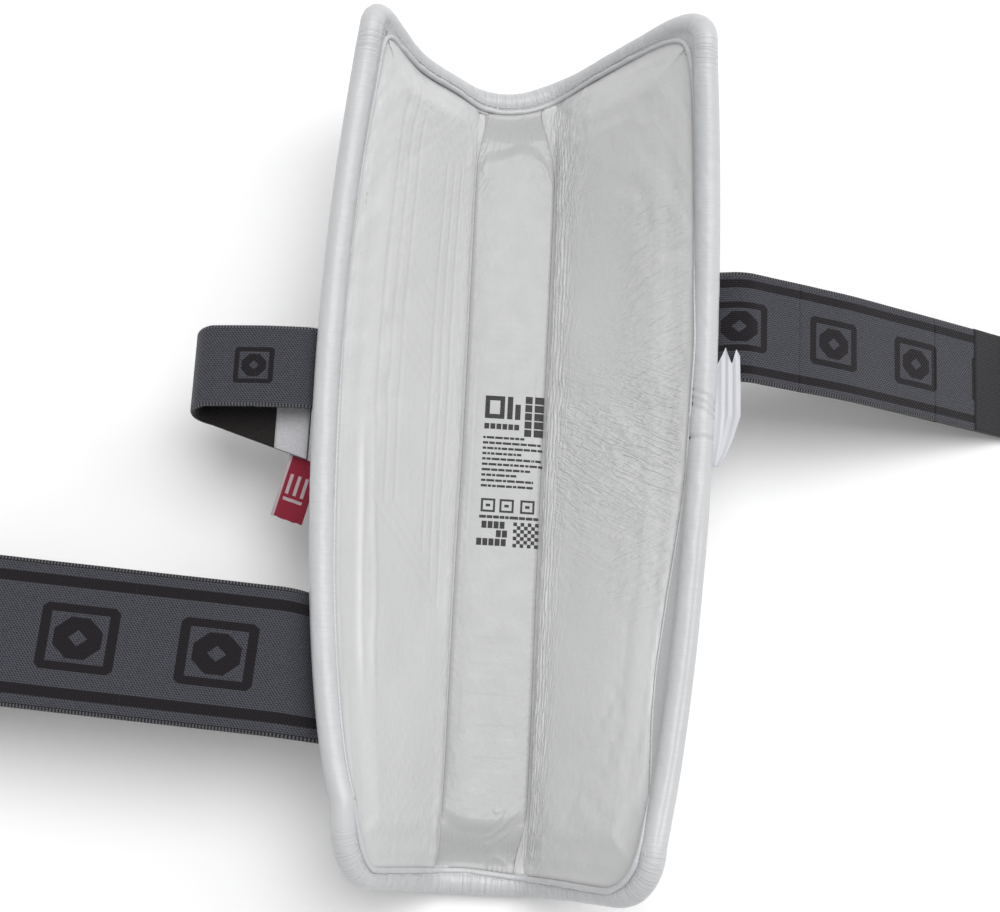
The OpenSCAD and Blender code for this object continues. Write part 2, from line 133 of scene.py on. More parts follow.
def section(s, v):
    """The place up the wing, its outer face's half width and its rise, at s and v."""
    s, v = np.broadcast_arrays(np.asarray(s, float), np.asarray(v, float))
    width = by_side(s, through(WIDTH[LEFT], v), through(WIDTH[RIGHT], v))
    rise = by_side(s, through(RISE[LEFT], v), through(RISE[RIGHT], v))
    return s, v, np.clip(np.abs(s) - 1, 0, 1), width, rise


def face(s, v):
    """Point of the outer face: s runs from -2 at the left rim over the ridge, from -1 to 1, to
    2 at the right rim, and v from -1 at the ankle end to 1 at the knee end."""
    s, v, t, width, rise = section(s, v)
    x = np.clip(s, -1, 1) * RIDGE + np.sign(s) * (width - RIDGE) * t
    y = v * HALF_L + np.sign(v) * v**4 * end_reach(s, v)
    return np.stack([x, y, rise * t**WING_BEND], -1)


def stack_dir(s, v):
    """Direction in which the layers stack, out of the hollow side."""
    s, v, t, width, rise = section(s, v)
    lean = np.arctan2(rise * WING_BEND, width - RIDGE) * t**LEAN
    return np.stack([-np.sign(s) * np.sin(lean), 0 * lean, np.cos(lean)], -1)


def fullness(s, v):
    """Share of the full padding: 0 at the rim, 1 from so far inside it."""
    t = np.clip(np.abs(s) - 1, 0, 1)
    f = np.clip(np.minimum((1 - t) * WING_FACE, (1 - np.abs(v)) * HALF_L) / TAPER, 0, 1)
    return f * f * (3 - 2 * f)


def depth(s, v, level):
    """Height of the top of the cover (1), the core (2), the soft pads (3) and the lining (4)."""
    t = np.clip(np.abs(s) - 1, 0, 1)
    f = fullness(s, v)
    core = CORE_RIM_T + (CORE_T * (1 + (CORE_SHARE - 1) * t) - CORE_RIM_T) * f
    soft = SOFT_RIM_T + (SOFT_T - SOFT_RIM_T) * f
    layers = (0, COVER_T, core, soft, LINING_T)
    return sum(layers[1 : level + 1]) + 0 * f


def layer(s, v, height):
    """Point of the padding, so high above the outer face."""
    return face(s, v) + stack_dir(s, v) * np.asarray(height)[..., None]


# ---------------------------------------------------------------- helpers


class Noise:
    """Smooth seeded noise between -1 and 1 on a plane."""

    SIZE = 128

    def __init__(self, seed):
        self.values = np.random.default_rng(seed).uniform(-1, 1, (self.SIZE, self.SIZE))

    def __call__(self, x, y):
        ix, iy = np.floor(x).astype(int), np.floor(y).astype(int)
        fx, fy = x - ix, y - iy
        fx, fy = fx**3 * (fx * (6 * fx - 15) + 10), fy**3 * (fy * (6 * fy - 15) + 10)
        a, b = ix % self.SIZE, (ix + 1) % self.SIZE
        c, d = iy % self.SIZE, (iy + 1) % self.SIZE
        low = self.values[a, c] * (1 - fx) + self.values[b, c] * fx
        high = self.values[a, d] * (1 - fx) + self.values[b, d] * fx
        return low * (1 - fy) + high * fy


def step(x, low, high):
    """0 below low, 1 above high and smooth between."""
    f = np.clip((x - low) / (high - low), 0, 1)
    return f * f * (3 - 2 * f)


def bump(x, middle, width):
    """1 in the middle, falling off smoothly on both sides."""
    return np.exp(-(((x - middle) / width) ** 2))


def creases(x, y, angle, length, width, seed):
    """Sharp little ridges that run at an angle, from 0 to 1, so long and so far apart."""
    c, s = math.cos(math.radians(angle)), math.sin(math.radians(angle))
    along, aside = (x * c + y * s) / length, (-x * s + y * c) / width
    aside = aside + 1.4 * Noise(seed + 1)(along * 1.7, aside * 0.15)
    return np.clip(1 - np.abs(Noise(seed)(along, aside)) * 2.2, 0, 1) ** 2


def grid(first, second):
    """Two arrays over a grid, whose rows follow the first line and columns the second."""
    return np.meshgrid(first, second, indexing="ij")


def unit(v):
    return v / np.linalg.norm(v, axis=-1, keepdims=True)


def grid_normals(p):
    return unit(np.cross(np.gradient(p, axis=1), np.gradient(p, axis=0)))


# ---------------------------------------------------------------- meshes


def mesh_object(name, points, faces, smooth=True):
    """A mesh object from points in millimetres and faces."""
    array = isinstance(faces, np.ndarray)
    faces = faces.tolist() if array else [[int(k) for k in corners] for corners in faces]
    mesh = bpy.data.meshes.new(name)
    mesh.from_pydata((np.asarray(points, float) * MM).tolist(), [], faces)
    mesh.update()
    mesh.polygons.foreach_set("use_smooth", np.full(len(mesh.polygons), smooth))
    obj = bpy.data.objects.new(name, mesh)
    bpy.context.scene.collection.objects.link(obj)
    return obj


def closed_mesh(name, points, faces, smooth=True):
    """A mesh object that is turned inside out if its faces look inwards."""
    obj = mesh_object(name, points, faces, smooth)
    mesh = obj.data
    co = np.zeros(len(mesh.vertices) * 3)
    mesh.vertices.foreach_get("co", co)
    co = co.reshape(-1, 3)
    mesh.calc_loop_triangles()
    tri = np.zeros(len(mesh.loop_triangles) * 3, int)
    mesh.loop_triangles.foreach_get("vertices", tri)
    a, b, c = (co[tri.reshape(-1, 3)[:, k]] - co.mean(0) for k in range(3))
    if np.einsum("ij,ij->i", a, np.cross(b, c)).sum() < 0:
        mesh.flip_normals()
    return obj


def set_uv(obj, uv):
    """The cloth's own place of each vertex, given in millimetres and kept in metres."""
    uv_map = obj.data.uv_layers.new(name="cloth")
    index = np.zeros(len(obj.data.loops), int)
    obj.data.loops.foreach_get("vertex_index", index)
    uv_map.data.foreach_set("uv", (np.asarray(uv, float) * MM)[index].astype(np.float32).ravel())


def set_attribute(obj, name, values):
    data = obj.data.attributes.new(name, "FLOAT", "POINT")
    data.data.foreach_set("value", np.asarray(values, np.float32).ravel())


def slab(name, high, low, uv, attributes=None, flat_from=None):
    """A closed sheet between two grids of points, shaded flat from a given row on."""
    ni, nj = high.shape[:2]
    n = ni * nj
    index = np.arange(n).reshape(ni, nj)

    def wall(line):
        return np.stack([line[:-1], line[1:], line[1:] + n, line[:-1] + n], -1)

    top = np.stack([index[:-1, :-1], index[:-1, 1:], index[1:, 1:], index[1:, :-1]], -1)
    top = top.reshape(-1, 4)
    under = (top + n)[:, ::-1]
    walls = [wall(index[:, 0]), wall(index[-1]), wall(index[::-1, -1]), wall(index[0, ::-1])]
    quads = np.concatenate([top, under, *walls])
    obj = closed_mesh(name, np.concatenate([high.reshape(-1, 3), low.reshape(-1, 3)]), quads)
    smooth = np.arange(len(quads)) < len(top) + len(under)
    if flat_from is not None:
        row = np.arange(len(top)) // (nj - 1)
        smooth[: len(top) + len(under)] = np.tile(row < flat_from, 2)
    obj.data.polygons.foreach_set("use_smooth", smooth)
    set_uv(obj, np.tile(np.asarray(uv, float).reshape(-1, 2), (2, 1)))
    for key, values in (attributes or {}).items():
        set_attribute(obj, key, np.tile(values.ravel(), 2))
    set_attribute(obj, "under", np.repeat([0.0, 1.0], n))
    return obj


def ring(name, sections, uv):
    """A closed tube through sections that all have the same number of points."""
    n, m = sections.shape[:2]
    i, j = grid(np.arange(n), np.arange(m))
    i1, j1 = (i + 1) % n, (j + 1) % m
    quads = np.stack([i * m + j, i * m + j1, i1 * m + j1, i1 * m + j], -1).reshape(-1, 4)
    obj = closed_mesh(name, sections.reshape(-1, 3), quads)
    set_uv(obj, uv.reshape(-1, 2))
    return obj


def rod_faces(start, rings, sides):
    """Faces of a closed rod whose points come ring by ring and are numbered from start."""
    faces = []
    for k in range(rings):
        for q in range(sides):
            a, b = start + k * sides + q, start + k * sides + (q + 1) % sides
            faces.append([a, b, b + sides, a + sides])
    faces.append([start + q for q in reversed(range(sides))])
    faces.append([start + rings * sides + q for q in range(sides)])
    return faces


def stitches(name, rows, radius, sag):
    """Short rods with round ends, joined in one mesh. Each row is start, end and normal."""
    sides, rings = 6, 4
    points, faces = [], []
    for a, b, n in rows:
        axis = unit(b - a)
        n = unit(n - axis * (n @ axis))
        over_ = np.cross(axis, n)
        faces += rod_faces(len(points), rings, sides)
        for k in range(rings + 1):
            f = k / rings
            swell = math.sin(math.pi * min(max(f, 0.06), 0.94)) ** 0.45
            centre = a + (b - a) * f - n * sag * (2 * f - 1) ** 2
            for q in range(sides):
                w = 2 * math.pi * q / sides
                points.append(centre + (n * math.cos(w) + over_ * math.sin(w)) * radius * swell)
    return closed_mesh(name, points, faces)


# ---------------------------------------------------------------- materials


class Value:
    """A number inside a material: what is reckoned with it becomes nodes."""

    def __init__(self, shader, socket):
        self.shader, self.socket = shader, socket

    def __add__(self, other):
        return self.shader.math("ADD", self, other)

    def __sub__(self, other):
        return self.shader.math("SUBTRACT", self, other)

    def __rsub__(self, other):
        return self.shader.math("SUBTRACT", other, self)

    def __mul__(self, other):
        return self.shader.math("MULTIPLY", self, other)

    def __truediv__(self, other):
        return self.shader.math("DIVIDE", self, other)

    def __gt__(self, other):
        return self.shader.math("GREATER_THAN", self, other)

    def __lt__(self, other):
        return self.shader.math("LESS_THAN", self, other)

    def __abs__(self):
        return self.shader.math("ABSOLUTE", self)

    def wave(self, period):
        """Its sine, which comes round once in a period."""
        return self.shader.math("SINE", self * (2 * math.pi / period))


class Shader:
    """A new material, with short ways to add and join its nodes."""

    def __init__(self, name, colour, **constants):
        self.material = bpy.data.materials.new(name)
        self.material.use_nodes = True
        self.tree = self.material.node_tree
        self.bsdf = self.tree.nodes["Principled BSDF"]
        self.bsdf.inputs["Base Color"].default_value = (*colour, 1)
        for key, value in constants.items():
            self.bsdf.inputs[key.replace("_", " ")].default_value = value

    def add(self, kind, inputs=None, **settings):
        node = self.tree.nodes.new("ShaderNode" + kind)
        for key, value in settings.items():
            setattr(node, key, value)
        for key, value in (inputs or {}).items():
            self.put(node.inputs[key], value)
        return node

    def put(self, socket, value):
        value = value.socket if isinstance(value, Value) else value
        if isinstance(value, bpy.types.NodeSocket):
            self.tree.links.new(value, socket)
        else:
            socket.default_value = value

    def value(self, node, output=0):
        return Value(self, node.outputs[output])

    def math(self, operation, a, b=0.0):
        return self.value(self.add("Math", {0: a, 1: b}, operation=operation))

    def ramp(self, value, low, high, start=0.0, end=1.0):
        keys = {"Value": value, "From Min": low, "From Max": high, "To Min": start, "To Max": end}
        return self.value(self.add("MapRange", keys))

    def mix(self, factor, a, b):
        """A colour between two others."""
        node = self.add("Mix", data_type="RGBA")
        self.put(node.inputs["Factor"], factor)
        for socket, value in ((node.inputs[6], a), (node.inputs[7], b)):
            self.put(socket, value if isinstance(value, bpy.types.NodeSocket) else (*value, 1))
        return node.outputs[2]

    def place(self):
        return self.add("TexCoord").outputs["Object"]

    def noise(self, scale, detail, roughness=0.5):
        keys = {"Vector": self.place(), "Scale": scale, "Detail": detail, "Roughness": roughness}
        return self.value(self.add("TexNoise", keys))

    def cells(self, scale, feature="F1"):
        keys = {"Vector": self.place(), "Scale": scale}
        return self.value(self.add("TexVoronoi", keys, feature=feature), "Distance")

    def attribute(self, name):
        return self.value(self.add("Attribute", attribute_name=name), "Fac")

    def cloth_uv(self):
        return self.add("UVMap", uv_map="cloth").outputs[0]

    def cloth_place(self):
        """Across and along the cloth, in metres."""
        split = self.add("SeparateXYZ", {0: self.cloth_uv()})
        return self.value(split, 0), self.value(split, 1)

    def ridges(self, angle, length, spacing):
        """Narrow ridges in the cloth's plane that run at an angle, from 0 to 1."""
        keys = {"Vector": self.cloth_uv(), "Rotation": (0, 0, -math.radians(angle))}
        turned = self.add("Mapping", keys).outputs[0]
        steps = (1 / length, 1 / spacing, 0)
        place = self.add("VectorMath", {0: turned, 1: steps}, operation="MULTIPLY").outputs[0]
        keys = {"Vector": place, "Scale": 1.0, "Detail": 2.0, "Distortion": 0.5}
        gap = abs(self.value(self.add("TexNoise", keys)) - 0.5)
        return self.math("POWER", self.ramp(gap, 0.0, 0.15, 1.0, 0.0), 1.6)

    def finish(self, colour, roughness=None, height=None, distance=0.0001):
        self.put(self.bsdf.inputs["Base Color"], colour)
        if roughness is not None:
            self.put(self.bsdf.inputs["Roughness"], roughness)
        if height is not None:
            bump_node = self.add("Bump", {"Height": height, "Strength": 1.0, "Distance": distance})
            self.put(self.bsdf.inputs["Normal"], bump_node.outputs[0])
        return self.material


def tinted(colour, *shares):
    """A colour made lighter or darker, by one share or by one for each channel."""
    return tuple(min(1, c * k) for c, k in zip(colour, shares if len(shares) > 1 else shares * 3))


def leather(name, colour, shade, roughness, grain, grain_depth, coat=0.0, pores=0.0, folds=()):
    """Coated leather: a fine pebbled grain, faint mottling, creases where attributes ask for
    them, and painted shade in grooves, seams and folds, tinted brownish like dust, where an
    attribute asks for it."""
    s = Shader(name, colour, Coat_Weight=coat, Coat_Roughness=0.18, Specular_IOR_Level=0.45)
    worn = s.mix(s.ramp(s.noise(38, 3), 0.35, 0.65) * 0.7, colour, shade)
    # Painted shade: an attribute darkens grooves, seams and folds towards a brownish tone, a little
    # dust but mostly the shade that falls in them
    groove_shaded = s.mix(s.attribute("groove_shade") * 0.75, worn, tinted(colour, 0.5, 0.46, 0.43))
    height = s.cells(grain, "SMOOTH_F1") * 0.8 + s.noise(grain * 2.6, 4) * 0.5
    if pores:
        height = height + s.ramp(s.cells(grain * 0.45), 0.0, 0.16, -pores, 0.0)
    for key, angle, length, spacing, rise in folds:
        ridge = s.ridges(angle, length, spacing) * s.attribute(key)
        height = height + ridge * (rise / grain_depth)
    rough = s.ramp(s.noise(150, 2), 0.3, 0.7, roughness - 0.05, roughness + 0.06)
    return s.finish(groove_shaded, rough, height, grain_depth)


def elastic(name, width, edge, pitch, motif, start):
    """Woven elastic: grey twill, dark stripes beside both edges and a dark nested-square motif.

    All measures are in metres. edge lists the dark bands' limits, measured in from each edge.
    motif is the mark's half size along and across, and start is where the first one's middle
    lies."""
    dark, yarn, pale = (0.010, 0.008, 0.010), (0.056, 0.057, 0.069), (0.15, 0.155, 0.17)
    twill, warp_pitch, cord_pitch, cord_width = 0.00105, 0.00075, 0.0011, 0.0012
    s = Shader(
        name, yarn, Roughness=0.86, Sheen_Weight=0.25, Sheen_Roughness=0.4, Specular_IOR_Level=0.25
    )
    across, along = s.cloth_place()
    inset = s.math("MINIMUM", across, width - across)
    mask = 0.0
    for low, high in edge:
        mask = s.math("MAXIMUM", mask, (inset > low) * (inset < high))
    # The motif: a cut-cornered frame round a diamond with an eye, in shares of its half size
    repeat = s.math("MODULO", along - (start - pitch / 2) + 40 * pitch, pitch) - pitch / 2
    a, b = abs(repeat) / motif[0], abs(across - width / 2) / motif[1]
    square, diamond = s.math("MAXIMUM", a, b), a + b
    outer = (square > 0.74) * (square < 1.0) * (diamond < 1.86)
    inner = (square < 0.62) * (diamond < 0.86) * (diamond > 0.24)
    mask = s.math("MAXIMUM", mask, s.math("MAXIMUM", outer, inner))
    weave = (along - across * 0.8).wave(twill) * 0.6 + across.wave(warp_pitch) * 0.4
    fluff = s.noise(1500, 2)
    thread = s.ramp(weave + fluff * 1.6, -0.4, 1.9)
    light = s.mix(thread, tinted(yarn, 0.2), tinted(yarn, 1.8))
    deep = s.mix(thread, tinted(dark, 0.5), tinted(dark, 1.9))
    cord = s.mix(s.ramp(along.wave(cord_pitch), -0.6, 0.6), dark, pale)
    cloth = s.mix((inset < cord_width) * 0.7, s.mix(mask, light, deep), cord)
    backing = s.mix(thread, (0.006, 0.005, 0.005), (0.024, 0.020, 0.019))
    cloth = s.mix(s.attribute("under") > 0.5, cloth, backing)
    return s.finish(cloth, None, weave + fluff * 0.5 + mask * -0.6, 0.00018)


def woven(name, colour, pitch, contrast):
    """Plain woven tape and thread."""
    s = Shader(name, colour, Sheen_Weight=0.2, Specular_IOR_Level=0.25)
    across, along = s.cloth_place()
    fluff = s.noise(1400, 2)
    weave = across.wave(pitch) * 0.5 + (along + across).wave(pitch) * 0.5 + fluff
    tones = tinted(colour, 1 - contrast), tinted(colour, 1 + contrast)
    shade = s.mix(s.ramp(weave, -0.5, 1.5), *tones)
    return s.finish(shade, s.ramp(fluff, 0.3, 0.7, 0.84, 0.9), weave, 0.00012)


def felt(name, colour, scale, pile_depth):
    """Short pile: felt, loop pile or foam skin."""
    s = Shader(name, colour, Sheen_Weight=0.3, Specular_IOR_Level=0.2)
    fine, broad = s.noise(scale, 5, roughness=0.7), s.noise(scale * 0.12, 2)
    shade = s.mix(s.ramp(fine, 0.3, 0.7), tinted(colour, 0.82), tinted(colour, 1.08))
    return s.finish(shade, s.ramp(broad, 0.3, 0.7, 0.85, 0.97), fine, pile_depth)


def ink(name):
    """Dark print with a little wear."""
    s = Shader(name, (0.02, 0.02, 0.022), Specular_IOR_Level=0.3)
    spots = s.noise(900, 3)
    shade = s.mix(s.ramp(spots, 0.45, 0.8), (0.016, 0.016, 0.018), (0.06, 0.06, 0.062))
    return s.finish(shade, s.ramp(spots, 0.3, 0.7, 0.45, 0.6), spots, 0.00002)


def label_cloth(name, width, length):
    """Dense red woven cloth with four pale woven bars and a pale selvage."""
    red, pale, deep = (0.34, 0.007, 0.034), (0.66, 0.56, 0.60), (0.09, 0.02, 0.03)
    row_pitch, selvage = 0.0004, 0.0011
    s = Shader(name, red, Sheen_Weight=0.2, Specular_IOR_Level=0.3)
    across, along = s.cloth_place()
    u, v = across / width - 0.5, along / length - 0.48
    mark = across < selvage
    # Each bar's middle and half size, in shares of the label
    upright = [(middle, -0.04, 0.05, 0.16) for middle in (-0.24, 0.0, 0.24)]
    for u_middle, v_middle, u_half, v_half in [(0.0, 0.2, 0.3, 0.025), *upright]:
        bar = (abs(u - u_middle) < u_half) * (abs(v - v_middle) < v_half)
        mark = s.math("MAXIMUM", mark, bar)
    fluff = s.noise(1800, 2)
    rows = along.wave(row_pitch) + fluff
    shade = s.mix(s.ramp(rows, -0.6, 1.4) * 0.35, s.mix(mark, red, pale), deep)
    return s.finish(shade, s.ramp(fluff, 0.3, 0.7, 0.7, 0.85), rows, 0.00008)


def floor_material():
    s = Shader("floor", (0.95, 0.95, 0.95), Roughness=0.9, Specular_IOR_Level=0.1)
    return s.finish(s.mix(s.ramp(s.noise(3, 2), 0.3, 0.7), (0.95, 0.95, 0.95), (0.97, 0.97, 0.97)))


def paint(obj, material, body, replaces=()):
    """Gives a piece its material, the body it rides on and the nodes it replaces."""
    obj.data.materials.append(material)
    if body:
        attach(obj, body)
    if replaces:
        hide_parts(*replaces)
    return obj


# Creases of the lining: attribute, angle, length, spacing and height, in degrees and metres
LINING_FOLDS = (
    ("pucker", 85, 0.011, 0.0015, 0.00018),
    ("cross", -24, 0.014, 0.0023, 0.00020),
    ("counter", 31, 0.010, 0.0021, 0.00012),
    ("fan", 24, 0.011, 0.0023, 0.00015),
)
# Creases of the roll, with the same columns
ROLL_FOLDS = (("gather", 90, 0.009, 0.0012, 0.00014),)
COVER_SKIN = leather(
    "cover_skin", (0.78, 0.785, 0.79), (0.74, 0.745, 0.75), 0.36, 900, 0.00005, coat=0.25
)
LINING_SKIN = leather(
    "lining_skin", (0.625, 0.627, 0.63), (0.598, 0.60, 0.602), 0.40, 1300, 0.00006, 0.12, 0.25,
    LINING_FOLDS,
)
CENTRE_SKIN = leather(
    "centre_skin", (0.44, 0.442, 0.445), (0.42, 0.422, 0.425), 0.38, 1500, 0.00006, 0.2, 0.2
)
ROLL_SKIN = leather(
    "roll_skin", (0.575, 0.583, 0.597), (0.545, 0.555, 0.57), 0.42, 700, 0.00003, 0.2, 0.0,
    ROLL_FOLDS,
)
TAB_SKIN = leather("tab_skin", (0.57, 0.58, 0.615), (0.545, 0.555, 0.59), 0.42, 800, 0.00003, 0.15)
STITCH = woven("stitch_thread", (0.60, 0.60, 0.60), 0.0004, 0.25)
FOAM = felt("core_foam", (0.62, 0.70, 0.78), 900, 0.0002)
SOFT_FOAM = felt("soft_foam", (0.86, 0.82, 0.70), 700, 0.0003)
FACING = felt("facing_felt", (0.50, 0.495, 0.52), 1100, 0.00012)
PILE = felt("loop_pile", (0.72, 0.73, 0.75), 1300, 0.0004)
TAPE = woven("hook_tape", (0.022, 0.021, 0.024), 0.0009, 0.8)
INK = ink("print_ink")


# ---------------------------------------------------------------- cover


def rounded(steps, crowd=0.85):
    """Steps from -1 to 1 that crowd towards both ends."""
    a = np.linspace(-1, 1, steps)
    return (1 - crowd) * a + crowd * np.sin(np.pi / 2 * a)


def across_steps(wing, ridge):
    """Steps of s from the left rim to the right rim, closer together at the rims."""
    t = np.sin(np.pi / 2 * np.linspace(0, 1, wing))
    t = 0.45 * t + 0.55 * np.linspace(0, 1, wing)
    return np.concatenate([-1 - t[::-1], np.linspace(-1, 1, ridge)[1:-1], 1 + t])


def cover():
    """The outer shell: raised channels and nested chevrons on its outside."""
    s, v = grid(across_steps(62, 34), rounded(300, 0.35))
    out = np.zeros_like(s)
    y, w = v * HALF_L, (np.abs(s) - 1) * WING_FACE
    x = np.clip(s, -1, 1) * RIDGE
    inside = step(2 - np.abs(s), 0.05, 0.12) * step(1 - np.abs(v), 0.03, 0.07)
    for line in (-9, 0, 9):
        out -= 0.8 * bump(x, line, 0.8) * (np.abs(s) < 1)
    for line in (-126, -92, -40, 12, 64, 116):
        out -= 0.6 * bump(y, line, 0.9) * (np.abs(s) < 1)
    out -= 1.0 * bump(np.abs(w), 3.5, 1.1)
    slant = 0.45 * w
    for low, high in ((-118, -72), (-66, -20), (-14, 32), (38, 84)):
        for inset in (0, 7, 14):
            gap = np.minimum(y - (low + inset + slant), high - inset + slant - y)
            gap = np.minimum(gap, np.minimum(w - 9 - inset, 60 - inset - w))
            out -= (0.7 - 0.03 * inset) * bump(gap, 0, 0.9)
    dots = np.cos(2 * np.pi * w / 6.5) * np.cos(2 * np.pi * (y - slant) / 6.5)
    dots = np.maximum(dots, 0) ** 4
    out += 0.35 * dots * step(y - slant, 88, 92) * step(w, 8, 12) * step(60 - w, 0, 4)
    out += 0.12 * Noise(11)(w / 14, y / 16) * inside
    relief = np.minimum(out, 0.3) * inside
    high = layer(s, v, depth(s, v, 1))
    low = layer(s, v, -np.where(np.abs(s) < 1, np.minimum(relief, 0), relief))
    low[..., 2] = np.maximum(low[..., 2], 0)
    uv = np.stack([s * 40, y], -1)
    # Painted shade: the deeper a channel or pressed line, the darker its colour
    channel_shade = np.clip(-relief / 0.9, 0, 1)
    return slab("cover", high, low, uv, {"groove_shade": channel_shade * 0.6})


# ---------------------------------------------------------------- rim


def around(values, sigma):
    """Values along the closed rim, smoothed."""
    n = len(values)
    k = np.arange(-int(3 * sigma) - 1, int(3 * sigma) + 2)
    weights = np.exp(-((k / sigma) ** 2) / 2)
    weights /= weights.sum()
    return sum(w * values[(np.arange(n) + i) % n] for w, i in zip(weights, k))


def rim_path(spacing):
    """Stations round the rim, anticlockwise: the foot and head of the layers' edge, the ways
    up and out, and the distance along."""
    a = np.linspace(-1, 1, 800)[:-1]
    b = 2 * np.sin(np.pi / 2 * a)
    s = np.concatenate([b, 0 * a + 2, -b, 0 * a - 2])
    v = np.concatenate([0 * a - 1, a, 0 * a + 1, -a])
    foot, head = face(s, v), layer(s, v, RIM_T + 0 * v)
    middle = (foot + head) / 2
    leg = np.linalg.norm(np.roll(middle, -1, 0) - middle, axis=1)
    along = np.concatenate([[0], np.cumsum(leg)])
    n = round(along[-1] / spacing)
    u = np.arange(n) * along[-1] / n

    def again(p):
        closed = np.concatenate([p, p[:1]])
        return np.stack([np.interp(u, along, closed[:, k]) for k in range(3)], -1)

    foot, head = around(again(foot), 1.2), around(again(head), 1.2)
    bend = np.exp(-(((np.abs(head[:, 0]) - RIDGE) / 8) ** 2))[:, None]
    foot, head = foot + (around(foot, 5) - foot) * bend, head + (around(head, 5) - head) * bend
    up = unit(head - foot)
    middle = (foot + head) / 2
    out = unit(np.cross(np.roll(middle, -1, 0) - np.roll(middle, 1, 0), up))
    out = unit(around(out, 2.0))
    out, up = unit(out + (around(out, 5) - out) * bend), unit(up + (around(up, 6) - up) * bend)
    return foot, head, up, out, u


RIM_FOOT, RIM_HEAD, RIM_UP, RIM_OUT, RIM_U = rim_path(0.85)
RIM_X, RIM_Y = RIM_HEAD[:, 0], RIM_HEAD[:, 1]
ON_RIGHT = step(RIM_X, 30, 48) * step(138 - np.abs(RIM_Y), 0, 8)
ON_LEFT = step(-RIM_X, 30, 48) * step(138 - np.abs(RIM_Y), 0, 8)
ON_KNEE = step(RIM_Y, 128, 138)
ON_ANKLE = step(-RIM_Y, 128, 138)


# How far inside the rim the lining's turned edge runs, at places along it. Where this is
# negative the edge climbs the roll.
HEM = {
    "left": (
        (-140, -2.3), (-125, -3.8), (-110, -3.6), (-90, -3.0), (-50, -2.6), (0, -0.8),
        (40, 0.5), (90, 1.0), (128, 2.6),
    ),
    "right": (
        (-140, -2.6), (-126, -1.6), (-112, 1.4), (-94, 4.6), (-76, 5.8), (-50, 4.2),
        (-18, 1.0), (9, -1.0), (38, -2.6), (68, -0.2), (90, 0.6), (108, 0.8), (134, 1.2),
    ),
    "ankle": (
        (-50, -1.6), (-39, -1.4), (-28, -0.6), (-6, 0.7), (14, -1.2), (34, -2.4), (50, -2.8),
    ),
    "knee": (
        (-56, 3.2), (-50, 1.2), (-42, 0.4), (-26, 0.0), (-10, 0.8), (0, 1.0), (10, 0.9),
        (25, 0.4), (44, 0.8), (54, 2.0), (60, 3.0),
    ),
}


def hem_insets():
    """The hem's inset at each rim station."""

    def at(key, place):
        return np.interp(place, *zip(*HEM[key]))

    sides = np.where(RIM_X < 0, at("left", RIM_Y), at("right", RIM_Y))
    ends = np.where(RIM_Y < 0, at("ankle", RIM_X), at("knee", RIM_X))
    share = np.clip(ON_ANKLE + ON_KNEE, 0, 1)
    return around(sides * (1 - share) + ends * share, 4)


HEM_IN = hem_insets()
# 0 where the rim's stations start and end, so that noise along them leaves no step
JOIN_FADE = step(RIM_U, 0, 12) * step(RIM_U[-1] - RIM_U, 0, 12)
# How far the roll's inner edge reaches in over the padding, to stay under the lining's edge
LIP = np.maximum(around(np.where(HEM_IN > -0.2, HEM_IN + 1.2, 0.0), 3), 0.0)


# ---------------------------------------------------------------- lining


def seam_shift(side, v):
    """How far a seam of the centre panel leaves the ridge's edge, inwards."""
    if side == LEFT:
        return 3.0 * step(v, 0.80, 0.97) - 1.1 * step(-v, 0.7, 0.95) + 0.3 * np.sin(5.2 * v + 0.8)
    return 6.6 * step(v, 0.76, 1.0) + 4.2 * step(-v, 0.84, 1.0) + 0.3 * np.sin(4.4 * v + 2.0) + 0.1


def over(s):
    """Distance over the lining from the ridge's middle."""
    return np.minimum(np.abs(s), 1) * RIDGE + np.maximum(np.abs(s) - 1, 0) * WING_FACE


def s_at(distance):
    """The other way round: s at a distance over the lining."""
    return np.where(distance < RIDGE, distance / RIDGE, 1 + (distance - RIDGE) / WING_FACE)


def seam_s(side, v):
    """Where a seam of the centre panel lies, as s."""
    return side * s_at(RIDGE - seam_shift(side, v))


def from_rim(s, v):
    """Distance from the rim, along the lining."""
    return np.minimum((2 - np.abs(s)) * WING_FACE, (1 - np.abs(v)) * HALF_L)


def shoulder(out):
    """Height of the roll's inner shoulder above the rim's foot, so far out from the rim."""
    return ROLL_R + np.sqrt(np.maximum(ROLL_R**2 - (np.maximum(out, 0) - ROLL_SHIFT) ** 2, 0))


def corner_ease():
    """How far the turned edge leaves its even inset to round the corners."""
    line = RIM_FOOT - RIM_OUT * HEM_IN[:, None]
    near = step(np.abs(RIM_X), 38, 46) * step(np.abs(RIM_Y), 116, 128)
    return (around(line, 8) - line) * around(near, 4)[:, None]


HEM_EASE = corner_ease()
LIP = LIP + around(np.linalg.norm(HEM_EASE, axis=1), 2)


def nearest_station(points):
    """Number of the rim station nearest to each point, found in small batches."""
    index = np.zeros(len(points), int)
    for first in range(0, len(points), 4000):
        block = points[first : first + 4000]
        gap = ((block[:, None, :] - RIM_HEAD[None, ::2, :]) ** 2).sum(-1)
        index[first : first + 4000] = gap.argmin(1) * 2
    return index


HEM_ZONE = 11  # how far from the rim the lining is drawn towards its turned edge


